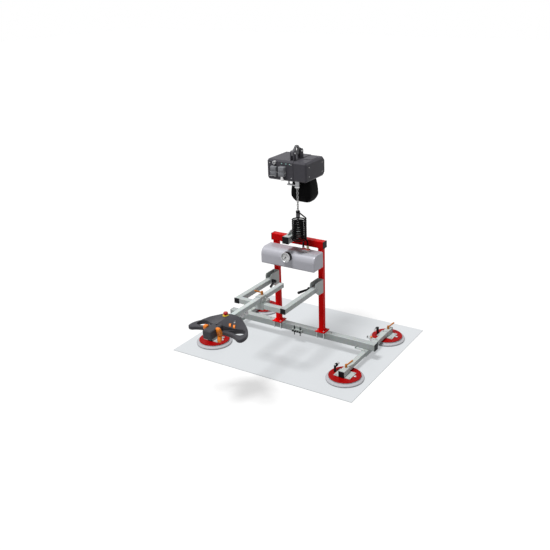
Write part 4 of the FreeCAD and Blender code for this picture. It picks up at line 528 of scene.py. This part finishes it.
# Chain, hook and swivel: zinc-plated welded links on a steel load wheel inside the hoist.
# The hook is forged and blackened, and a sprung steel latch closes its mouth.
chain_zinc = finish_of("chain_zinc", (0.34, 0.34, 0.34), tone=0.2, sheen=0.30, cloud=0.12,
                       grain_size=900, grain_depth=0.1, metallic=0.85)
dress("load_chain", chain_zinc)
dress("load_wheel", bright_steel)
dress("hook_swivel", forged_steel)
dress("load_hook", forged_steel)
dress("hook_latch", bright_steel)

# Portal frame: welded square tube with a red powder coat, posts on base plates, beam across the top.
# The coat flows over the weld beads, so they are red too. The posts' red is painted brighter as painted light
# and the beam's red darker as painted shade: two copies of one paint.
# The first red below is the frame's paint darkened as painted shade; the second is the same paint brightened
# as painted light.
red_coat_painted_shade = finish_of("red_coat_painted_shade", (0.50, 0.0006, 0.0008), tone=0.14, sheen=0.42, cloud=0.12,
                     grain_size=350, grain_depth=0.10, specular=0.06)
post_red_painted_light = finish_of("post_red_painted_light", (0.80, 0.0008, 0.001), tone=0.14, sheen=0.42, cloud=0.12,
                      grain_size=350, grain_depth=0.10, specular=0.06)
dress("top_beam", red_coat_painted_shade)
for name in ("left_post", "right_post"):
    dress(name, post_red_painted_light)


def weld_bead(shape, corners, closed, radius):
    """A rippled bead in a bmesh along straight runs between corners."""
    bead_step = 0.0022
    ripple = 0.13
    ripple_steps = 2.6
    sides = 6
    angles = [2 * math.pi * n / sides for n in range(sides)]
    runs = list(zip(corners, corners[1:] + corners[:1])) if closed else list(zip(corners, corners[1:]))
    for first, last in runs:
        first = Vector(first)
        last = Vector(last)
        steps = max(2, int((last - first).length / bead_step))
        turn = (last - first).to_track_quat("Z", "Y").to_matrix()
        loops = []
        for k in range(steps + 1):
            size = radius * (1 + ripple * math.sin(2 * math.pi * k / ripple_steps))
            spot = first + (last - first) * k / steps
            loops.append([shape.verts.new(spot + turn @ Vector((size * math.cos(a), size * math.sin(a), 0)))
                          for a in angles])
        for near, far in zip(loops, loops[1:]):
            for n in range(sides):
                shape.faces.new((near[n], far[n], far[(n + 1) % sides], near[(n + 1) % sides]))


def level_ring(x, y, half_x, half_y, z):
    """The four corners of a level oblong."""
    return [(x - half_x, y - half_y, z), (x + half_x, y - half_y, z), (x + half_x, y + half_y, z),
            (x - half_x, y + half_y, z)]


beam_low, beam_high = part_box("top_beam")
post_low, post_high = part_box("right_post")
post_x = (post_low.x + post_high.x) / 2
post_half = 0.0225
base_top = post_low.z + 0.008
red_welds = bmesh.new()
for side in (-1, 1):
    for height, bead in ((base_top, 0.0026), (beam_low.z, 0.0024)):
        seam = level_ring(side * post_x, 0, post_half, post_half, height)
        weld_bead(red_welds, seam, closed=True, radius=bead)
new_piece("frame_welds", red_welds, "lifter", red_coat_painted_shade)

# Hanging tube: plated square tube on top of the beam, with a holed lug in front and the tab for the hook.
# Zinc plating is light and slightly green, with a faint spangle. The main beam and the control tube have the
# same plating, painted darker on the beam as painted shade and paler on the control tube as painted light.


def zinc_plating(name, colour):
    """Bright plating: cloudy tone, a broad faint spangle and a fine grain."""
    material = finish_of(name, colour, tone=0.10, sheen=0.44, cloud=0.14,
                         grain_size=260, grain_depth=0.06, metallic=0.12, specular=0.2)
    tree = material.node_tree
    shader = tree.nodes["Principled BSDF"]
    skin = [item for item in tree.nodes if item.type == "GROUP"][0]
    place = tree.nodes.new("ShaderNodeTexCoord")
    spangle = tree.nodes.new("ShaderNodeTexVoronoi")
    spangle.inputs["Scale"].default_value = 70.0
    tree.links.new(place.outputs["Object"], spangle.inputs["Vector"])
    pale = tree.nodes.new("ShaderNodeMix")
    pale.data_type = "RGBA"
    pale.blend_type = "MULTIPLY"
    pale.inputs["Factor"].default_value = 0.08
    tree.links.new(skin.outputs["Colour"], pale.inputs["A"])
    tree.links.new(spangle.outputs["Color"], pale.inputs["B"])
    tree.links.new(pale.outputs["Result"], shader.inputs["Base Color"])
    return material


zinc = zinc_plating("zinc_plating", (0.45, 0.485, 0.475))
dress("hanging_tube", zinc)
hang_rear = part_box("hanging_tube")[1].y - 0.001
hang_half = 0.030
hang_front = -0.029
tube_top = beam_high.z + 0.060
lug_half = 0.004
lug_run = (-0.1636, -0.069)
tab_run = (-0.036, 0.0245)
zinc_welds = bmesh.new()
for side in (-1, 1):
    for x, (front, rear), z, bead in ((side * hang_half, (hang_front, hang_rear), beam_high.z, 0.0026),
                                      (side * lug_half, lug_run, tube_top, 0.0022),
                                      (side * lug_half, tab_run, tube_top, 0.0022)):
        weld_bead(zinc_welds, [(x, front, z), (x, rear, z)], closed=False, radius=bead)
new_piece("hanger_welds", zinc_welds, "lifter", zinc)

# Spiral hose: black polyurethane, wound into a tight coil that stands beside the hanging tube.
# It rises from a gland on the vacuum unit, and its upper end crosses to a clip on the chain.
hose_diameter = 0.012
hose_radius = 0.056
hose_pitch = 0.0158
hose_turns = 12
coil_x = 0.093
coil_y = -0.135
coil_foot = panel_height + 1.012
gland_exit = Vector((0.124, -0.0565, panel_height + 0.944))
tail_rise = Vector((0, 0, 0.050))
tail_sweep = Vector((0.036, 0, 0))
tail_steps = 8
per_turn = 16
swell = 1 / math.cos(math.pi / per_turn)
coil_entry = Vector((coil_x, coil_y + hose_radius, coil_foot))
bend = [gland_exit, gland_exit + tail_rise, coil_entry + tail_sweep, coil_entry]
route = []
for k in range(tail_steps):
    t = k / tail_steps
    weights = ((1 - t) ** 3, 3 * t * (1 - t) ** 2, 3 * t * t * (1 - t), t ** 3)
    route.append(sum((point * weight for point, weight in zip(bend, weights)), Vector()))
leaving = math.atan2(-coil_y, -coil_x) - math.acos(hose_radius / math.hypot(coil_x, coil_y))
last_turn = hose_turns + (leaving - math.pi / 2) / (2 * math.pi)
for k in range(int(last_turn * per_turn) + 1):
    angle = math.pi / 2 + 2 * math.pi * k / per_turn
    route.append(Vector((coil_x + hose_radius * swell * math.cos(angle),
                         coil_y + hose_radius * swell * math.sin(angle),
                         coil_foot + hose_pitch * k / per_turn)))
coil_exit = Vector((coil_x + hose_radius * math.cos(leaving), coil_y + hose_radius * math.sin(leaving),
                    coil_foot + hose_pitch * last_turn))
clip_reach = 0.0183
clip_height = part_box("hose_fittings")[1].z - 0.008
clip_way = Vector((coil_exit.x, coil_exit.y, 0)).normalized()
clip_face = clip_way * clip_reach + Vector((0, 0, clip_height))
for share in (0.15, 0.45, 0.75, 0.92):
    route.append(coil_exit.lerp(clip_face, share))
route.append(clip_face)
hose_curve = bpy.data.curves.new("spiral_hose_line", "CURVE")
hose_curve.dimensions = "3D"
hose_line = hose_curve.splines.new("NURBS")
hose_line.points.add(len(route) - 1)
for point, spot in zip(hose_line.points, route):
    point.co = (*spot, 1)
hose_line.order_u = 3
hose_line.use_endpoint_u = True
hose_line.resolution_u = 3
hose_curve.bevel_depth = hose_diameter / 2
hose_curve.bevel_resolution = 4
hose_curve.use_fill_caps = True
spiral_hose = bpy.data.objects.new("spiral_hose_line", hose_curve)
scene.collection.objects.link(spiral_hose)
hose_plastic = finish_of("hose_plastic", (0.0026, 0.0026, 0.0028), tone=0.3, sheen=0.40, cloud=0.12,
                         grain_size=500, grain_depth=0.05, specular=0.04)
hose_curve.materials.append(hose_plastic)
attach(spiral_hose, "lifter")
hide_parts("spiral_hose")

# Hose fittings: a brass gland and a silencer on red base plates, and the hose clip round the chain.
# The silencer has a bright nut and a black moulded body.
brass = finish_of("gland_brass", (0.55, 0.50, 0.30), tone=0.15, sheen=0.30, cloud=0.1,
                  grain_size=400, grain_depth=0.08, metallic=0.85)
moulded_black = finish_of("moulded_black", (0.007, 0.007, 0.0085), tone=0.3, sheen=0.45, cloud=0.12,
                          grain_size=1400, grain_depth=0.2, specular=0.10)
unit_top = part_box("vacuum_cover")[1].z
plate_top = unit_top + 0.0032
nut_top = unit_top + 0.0205
silencer_edge = 0.1
dress("hose_fittings", brass)
# The base plates take the frame's red, darkened as painted shade.
dress_part("hose_fittings", red_coat_painted_shade, lambda c: c.z < plate_top)
dress_part("hose_fittings", bright_steel, lambda c: c.x < silencer_edge and plate_top <= c.z < nut_top)
dress_part("hose_fittings", moulded_black, lambda c: c.x < silencer_edge and c.z >= nut_top)

# Vacuum unit: a long sheet metal cover over pump and reservoir, with a wide rounded front edge.
# It is sprayed with a fine metallic silver paint.
silver = finish_of("silver_paint", (0.41, 0.41, 0.45), tone=0.06, sheen=0.34, cloud=0.06,
                   grain_size=2600, grain_depth=0.10, metallic=0.2, specular=0.3)
dress("vacuum_cover", silver)

# Vacuum gauge: a black case with a bright rim and a sunk pale dial with a printed scale and figures.
# The needle turns on a black hub and stands at zero, lower left. A clear window closes the case.
dress("gauge_case", moulded_black)
case_low, case_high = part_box("gauge_case")
gauge_front = case_low.y
gauge_radius = (case_high.z - case_low.z) / 2
gauge_centre = Vector(((case_low.x + case_high.x) / 2, gauge_front, (case_low.z + case_high.z) / 2))
dial_radius = gauge_radius - 0.0042
dial_y = gauge_front + 0.008
dial_sides = 64
bezel_edge = gauge_radius + 0.0006
bezel_depth = -0.006
bezel = bmesh.new()
add_turned(bezel, ((dial_radius - 0.001, -0.0010), (dial_radius + 0.0004, 0.0012),
                   (gauge_radius - 0.0012, 0.0014), (bezel_edge, 0.0002),
                   (bezel_edge, bezel_depth), (gauge_radius, bezel_depth)),
           gauge_centre, FRONT, segments=dial_sides)
new_piece("gauge_bezel", bezel, "lifter",
          finish_of("bezel_silver", (0.60, 0.60, 0.62), tone=0.06, sheen=0.3, cloud=0.06,
                    grain_size=900, grain_depth=0.05, metallic=0.6))
paper = 0.0005
pin_hole = 0.0028
dial = bmesh.new()
add_turned(dial, ((dial_radius, 0.0), (dial_radius, paper), (pin_hole, paper), (pin_hole, 0.0)),
           (gauge_centre.x, dial_y, gauge_centre.z), FRONT, segments=dial_sides)
new_piece("gauge_dial", dial, "lifter",
          finish_of("dial_paper", (0.80, 0.80, 0.81), tone=0.04, sheen=0.6, cloud=0.05,
                    grain_size=700, grain_depth=0.03, specular=0.2))
ink = finish_of("dial_ink", (0.02, 0.02, 0.022), tone=0.1, sheen=0.6, cloud=0.05,
                grain_size=700, grain_depth=0.03, specular=0.2)
ink_y = dial_y - paper - 0.0002
print_centre = Vector((gauge_centre.x, ink_y, gauge_centre.z))
zero_angle = 225
full_sweep = 270
tick_count = 50
ticks_per_figure = 10
long_tick = (0.78, 0.0009)
short_tick = (0.86, 0.00045)
tick_end = dial_radius * 0.94
line_steps = 60


def dial_way(share):
    """The direction from the dial's centre to a share of the scale."""
    swing = math.radians(zero_angle - full_sweep * share)
    return Vector((math.cos(swing), 0, math.sin(swing)))


ticks = bmesh.new()
for k in range(tick_count + 1):
    start_share, half_width = short_tick if k % ticks_per_figure else long_tick
    tick_start = dial_radius * start_share
    way = dial_way(k / tick_count)
    side = Vector((-way.z, 0, way.x)) * half_width
    corners = [print_centre + way * reach + side * edge
               for reach, edge in ((tick_start, -1), (tick_start, 1), (tick_end, 1), (tick_end, -1))]
    ticks.faces.new([ticks.verts.new(corner) for corner in corners])
scale_line = []
for k in range(line_steps + 1):
    way = dial_way(k / line_steps)
    scale_line.append([ticks.verts.new(print_centre + way * radius)
                       for radius in (dial_radius * 0.918, dial_radius * 0.950)])
for first, second in zip(scale_line, scale_line[1:]):
    ticks.faces.new((first[0], first[1], second[1], second[0]))
new_piece("gauge_ticks", ticks, "lifter", ink, smooth=False)
figure_steps = 5
figure_reach = dial_radius * 0.645
for k in range(figure_steps + 1):
    figure_name = "dial_figure_%d" % k
    figure_curve = bpy.data.curves.new(figure_name, "FONT")
    figure_curve.body = str(2 * k)
    figure_curve.size = 0.0075
    figure_curve.align_x = "CENTER"
    figure_curve.align_y = "CENTER"
    figure_curve.materials.append(ink)
    figure = bpy.data.objects.new(figure_name, figure_curve)
    figure.location = print_centre + dial_way(k / figure_steps) * figure_reach
    figure.rotation_euler = (math.pi / 2, 0, 0)
    scene.collection.objects.link(figure)
    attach(figure, "lifter")
dress("gauge_needle", ink)
HUB = ((0.0072, -0.0004), (0.0072, 0.0005), (0.0060, 0.0010), (0.0, 0.0011))
needle_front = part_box("gauge_needle")[0].y
hub = bmesh.new()
add_turned(hub, HUB, (gauge_centre.x, needle_front, gauge_centre.z), FRONT, segments=32)
new_piece("needle_hub", hub, "gauge_needle", ink)
window_radius = dial_radius - 0.0008
window_pane = 0.0012
window_sink = 0.0025
window = bmesh.new()
add_turned(window, ((0.0, 0.0), (window_radius, 0.0), (window_radius, window_pane), (0.0, window_pane)),
           (gauge_centre.x, gauge_front + window_sink, gauge_centre.z), FRONT, segments=dial_sides)
clear = finish_of("gauge_window_glass", (0.9, 0.9, 0.9), tone=0.02, sheen=0.06, cloud=0.03,
                  grain_size=300, grain_depth=0.01)
clear.node_tree.nodes["Principled BSDF"].inputs["Alpha"].default_value = 0.10
new_piece("gauge_window", window, "lifter", clear)

# Main beam with its caps, the U-bolts of the frame and the vacuum manifold on the beam's front.
# Plated steel throughout, with black plastic caps and black push-in ports.
# The main beam's plating is painted darker, as painted shade.
dress("main_beam", zinc_plating("beam_plating_painted_shade", (0.385, 0.415, 0.41)))
dress("vacuum_manifold", zinc)
dress("tube_end_caps", moulded_black)
dress("frame_clamps", bright_steel)
main_low, main_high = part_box("main_beam")
port_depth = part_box("vacuum_manifold")[0].y + 0.0175
manifold_mid = (main_low.z + main_high.z) / 2 - 0.010
manifold_half = 0.0135
dress_part("vacuum_manifold", moulded_black,
           lambda c: c.y < port_depth or abs(c.z - manifold_mid) > manifold_half)
BEAM_PLUG = ((0.0050, 0.0), (0.0050, 0.0008), (0.0040, 0.0014), (0.0, 0.0014))
plug_x = 0.315
plugs = bmesh.new()
for side in (-1, 1):
    add_turned(plugs, BEAM_PLUG, (side * plug_x, 0, main_high.z), UP)
new_piece("beam_plugs", plugs, "lifter", moulded_black)

# Pivot brackets: folded plated steel, welded to the fronts of the posts, with the pivot bolts of the frame.
# A black locking lever sits on the inner end of each bolt.
dress("pivot_brackets", zinc)
for name in ("left_lock_lever", "right_lock_lever"):
    dress(name, moulded_black)
bracket_low, bracket_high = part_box("pivot_brackets")
bead_end = 0.004
bracket_welds = bmesh.new()
for side in (-1, 1):
    for edge in (-1, 1):
        x = side * post_x + edge * post_half
        weld_bead(bracket_welds, [(x, -post_half, bracket_low.z + bead_end),
                                  (x, -post_half, bracket_high.z - bead_end)], closed=False, radius=0.0022)
new_piece("bracket_welds", bracket_welds, "lifter", zinc)

# Operator frame: two plated arms and a cross bar, welded into one U that tilts between the brackets.
# Black plastic caps close the front ends of the tubes.
dress("operator_frame", zinc)
frame_low, frame_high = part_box("operator_frame")
cap_depth = 0.0045
frame_cap = frame_low.y + cap_depth
dress_part("operator_frame", moulded_black, lambda c: c.y < frame_cap)
arm_half = 0.0225
bar_y = frame_low.y + 0.005 + arm_half
bar_z = (frame_low.z + frame_high.z) / 2
corner_ring = ((-arm_half, -0.0175), (-arm_half, 0.0175), (-0.018, 0.0222),
               (0.018, 0.0222), (arm_half, 0.0175), (arm_half, -0.0175))
corner_welds = bmesh.new()
for side in (-1, 1):
    x = side * (post_x - arm_half)
    seam = [(x, bar_y + along, bar_z + rise) for along, rise in corner_ring]
    weld_bead(corner_welds, seam, closed=True, radius=0.0022)
new_piece("arm_welds", corner_welds, "operator_frame", zinc)

# Cross clamp on the cross bar, with its brown-orange clamp lever, and the control tube that slides in it.
# Two plugged sockets for the control lines are screwed into the tube's underside behind the handle.
lever_coat = finish_of("lever_coat", (0.42, 0.135, 0.008), tone=0.15, sheen=0.44, cloud=0.1,
                       grain_size=900, grain_depth=0.2, specular=0.3)
dress("cross_clamp", zinc)
dress("cross_clamp_lever", lever_coat)
# The control tube's plating is painted paler, as painted light.
dress("control_tube", zinc_plating("control_tube_plating_painted_light", (0.54, 0.585, 0.575)))
tube_low, tube_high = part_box("control_tube")
tube_cap = tube_high.y - cap_depth
dress_part("control_tube", moulded_black, lambda c: c.y > tube_cap)
CLAMP_SCREW = ((0.0055, 0.0), (0.0055, 0.004), (0.0048, 0.0048), (0.0, 0.0048))
clamp_low, clamp_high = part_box("cross_clamp")
screw_inset = 0.014
screw_z = clamp_high.z - 0.020
screw_face = clamp_high.x * 0.737
clamp_screws = bmesh.new()
for side in (-1, 1):
    for y in (clamp_low.y + screw_inset, clamp_high.y - screw_inset):
        add_turned(clamp_screws, CLAMP_SCREW, (side * screw_face, y, screw_z), (side, 0, 0), segments=6)
new_piece("clamp_screws", clamp_screws, "cross_clamp", bright_steel, smooth=False)
LINE_SOCKET = ((0.0125, -0.001), (0.0125, 0.010), (0.0140, 0.012), (0.0140, 0.029),
               (0.0125, 0.031), (0.0095, 0.031), (0.0095, 0.027), (0.0, 0.027))
SOCKET_PLUG = ((0.0080, 0.0268), (0.0080, 0.033), (0.0066, 0.036), (0.0, 0.037))
socket_x = 0.004
line_sockets = bmesh.new()
socket_plugs = bmesh.new()
for y in (-0.806, -0.862):
    add_turned(line_sockets, LINE_SOCKET, (socket_x, y, tube_low.z), DOWN, segments=28)
    add_turned(socket_plugs, SOCKET_PLUG, (socket_x, y, tube_low.z), DOWN, segments=20)
new_piece("line_sockets", line_sockets, "control", guide_steel)
new_piece("socket_plugs", socket_plugs, "control", bright_steel)

# Control handle: a charcoal moulding with two hand loops, orange triggers and rockers, and a stop button.
# Each trigger has two soft thumb lobes, the stop button's collar is yellow, and a small bright toggle
# stands behind the rockers.
handle_plastic = finish_of("handle_plastic", (0.052, 0.051, 0.058), tone=0.2, sheen=0.46, cloud=0.1,
                           grain_size=1600, grain_depth=0.25, specular=0.12)
dress("control_housing", handle_plastic)
orange = finish_of("orange_plastic", (0.80, 0.215, 0.012), tone=0.12, sheen=0.42, cloud=0.08,
                   grain_size=1200, grain_depth=0.15, specular=0.3)
for name in ("left_trigger", "right_trigger", "inner_rocker", "outer_rocker"):
    dress(name, orange)
stop_low, stop_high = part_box("stop_button")
stop_mid = (stop_low + stop_high) / 2
yellow = finish_of("stop_yellow", (0.80, 0.56, 0.02), tone=0.1, sheen=0.4, cloud=0.08,
                   grain_size=1200, grain_depth=0.1, specular=0.3)
boss_radius = 0.0225
boss_foot = stop_high.z - 0.042
dress_part("control_housing", yellow, lambda c: (c.xy - stop_mid.xy).length < boss_radius and c.z > boss_foot)
stop_red = finish_of("stop_red", (0.42, 0.004, 0.006), tone=0.1, sheen=0.34, cloud=0.08,
                     grain_size=900, grain_depth=0.05, specular=0.35)
dress("stop_button", stop_red)
STOP_COLLAR = ((0.0222, -0.014), (0.0226, -0.0135), (0.0226, -0.0006), (0.0218, 0.0004), (0.0100, 0.0004))
collar_drop = 0.024
collar = bmesh.new()
add_turned(collar, STOP_COLLAR, (stop_mid.x, stop_mid.y, stop_high.z - collar_drop), UP, segments=40)
new_piece("stop_collar", collar, "control", yellow)


def add_lobe(shape, centre, half, lean):
    """A soft rounded lobe in a bmesh, lofted from level rings that lean along Y as they rise."""
    levels = 12
    spokes = 24
    barrel = 2.6
    corner = 0.7
    rows = []
    for n in range(levels + 1):
        rise = -math.cos(math.pi * n / levels)
        girth = max(0.0, 1 - abs(rise) ** barrel) ** (1 / barrel)
        row = []
        for k in range(spokes if girth > 0 else 1):
            angle = 2 * math.pi * k / spokes
            across = math.copysign(abs(math.cos(angle)) ** corner, math.cos(angle)) * girth
            along = math.copysign(abs(math.sin(angle)) ** corner, math.sin(angle)) * girth
            spot = Vector((half.x * across, half.y * along + lean * rise, half.z * rise))
            row.append(shape.verts.new(centre + spot))
        rows.append(row)
    for low_row, high_row in zip(rows, rows[1:]):
        for k in range(spokes):
            corners = [low_row[k % len(low_row)], low_row[(k + 1) % len(low_row)],
                       high_row[(k + 1) % len(high_row)], high_row[k % len(high_row)]]
            shape.faces.new(list(dict.fromkeys(corners)))


trigger_width = 0.0258
upper_lobe = Vector((0.0180, 0.0170, 0.025))
lower_lobe = Vector((0.0175, 0.0140, 0.025))
lobe_inset = 0.022
for name in ("left_trigger", "right_trigger"):
    low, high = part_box(name)
    side = 1 if name == "right_trigger" else -1
    inner_face = max(abs(low.x), abs(high.x)) - trigger_width
    pads = bmesh.new()
    for half, y, z, lean in ((upper_lobe, low.y + 0.0125, high.z - lobe_inset, -0.004),
                             (lower_lobe, low.y + 0.0180, low.z + lobe_inset, 0.005)):
        add_lobe(pads, Vector((side * (inner_face + half.x), y, z)), half, lean)
    new_piece(name + "_pads", pads, name, orange)
TOGGLE = ((0.0065, -0.004), (0.0065, 0.003), (0.0055, 0.0042), (0.003, 0.0042),
          (0.0022, 0.006), (0.0030, 0.016), (0.0024, 0.0185), (0.0, 0.0192))
toggle_foot = Vector((0.080, -1.066, panel_height + 0.646))
toggle_way = Vector((0.35, -0.1, 1.0)).normalized()
toggle = bmesh.new()
add_turned(toggle, TOGGLE, toggle_foot, toggle_way, segments=16)
new_piece("handle_toggle", toggle, "control", bright_steel)

# Cross arms: plated square tubes that slide in sleeves under the beam, held by sprung strip catches.
# An orange release knob stands on each rear catch.
for name in ("arm_sleeves", "left_cross_arm", "right_cross_arm"):
    dress(name, zinc)
CATCH_KNOB = ((0.0060, 0.0), (0.0052, 0.004), (0.0052, 0.007), (0.0090, 0.009),
              (0.0095, 0.013), (0.0082, 0.0155), (0.0, 0.0165))
sleeve_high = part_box("arm_sleeves")[1]
catch_top = sleeve_high.z - 0.015
catch_y = sleeve_high.y - 0.012
knobs = bmesh.new()
for x in (-0.712, 0.614):
    add_turned(knobs, CATCH_KNOB, (x, catch_y, catch_top), UP, segments=24)
new_piece("catch_knobs", knobs, "lifter", orange)

# Suction plates: red discs, painted darker as painted shade, over a soft grey seal, each on a plated holder
# with a valve and a plug.
# The valve is a black body with a bright spool, and a brown-orange lever clamps the holder on its arm.
# The discs' red is the frame's paint made darker, as painted shade.
disc_red_painted_shade = finish_of("disc_red_painted_shade", (0.29, 0.0008, 0.001), tone=0.14, sheen=0.42, cloud=0.12,
                      grain_size=350, grain_depth=0.10, specular=0.06)
seal_rubber = finish_of("seal_rubber", (0.40, 0.40, 0.42), tone=0.12, sheen=0.6, cloud=0.1,
                        grain_size=800, grain_depth=0.15, specular=0.25)
valve_offset = 0.092
valve_radius = 0.0095
valve_height = 0.046
holder_half = 0.0755
for plate in ("front_right", "rear_right", "front_left", "rear_left"):
    dress(plate + "_disc", disc_red_painted_shade)
    dress(plate + "_seal", seal_rubber)
    dress(plate + "_clamp_lever", lever_coat)
    dress(plate + "_valve_slide", moulded_black)
    holder = plate + "_holder"
    dress(holder, zinc)
    low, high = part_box(holder)
    disc_low, disc_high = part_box(plate + "_disc")
    plate_mid = (disc_low + disc_high) / 2
    valve_x = plate_mid.x - valve_offset
    valve_top = disc_high.z + valve_height
    dress_part(holder, bright_steel, lambda c: abs(c.x - plate_mid.x) > holder_half)
    dress_part(holder, moulded_black,
               lambda c: math.hypot(c.x - valve_x, c.y - plate_mid.y) < valve_radius and c.z < valve_top)
    if "front" in plate:
        dress_part(holder, moulded_black, lambda c: c.y < low.y + cap_depth)
    else:
        dress_part(holder, moulded_black, lambda c: c.y > high.y - cap_depth)
    disc_radius = (disc_high.x - disc_low.x) / 2
    bead_inner = disc_radius + 0.0002
    rim = bmesh.new()
    add_turned(rim, ((bead_inner, -0.0012), (disc_radius + 0.0016, -0.0004),
                     (disc_radius + 0.0018, 0.0008), (bead_inner, 0.0014)),
               (plate_mid.x, plate_mid.y, disc_low.z), UP, segments=96)
    new_piece(plate + "_seal_bead", rim, plate + "_plate", seal_rubber)
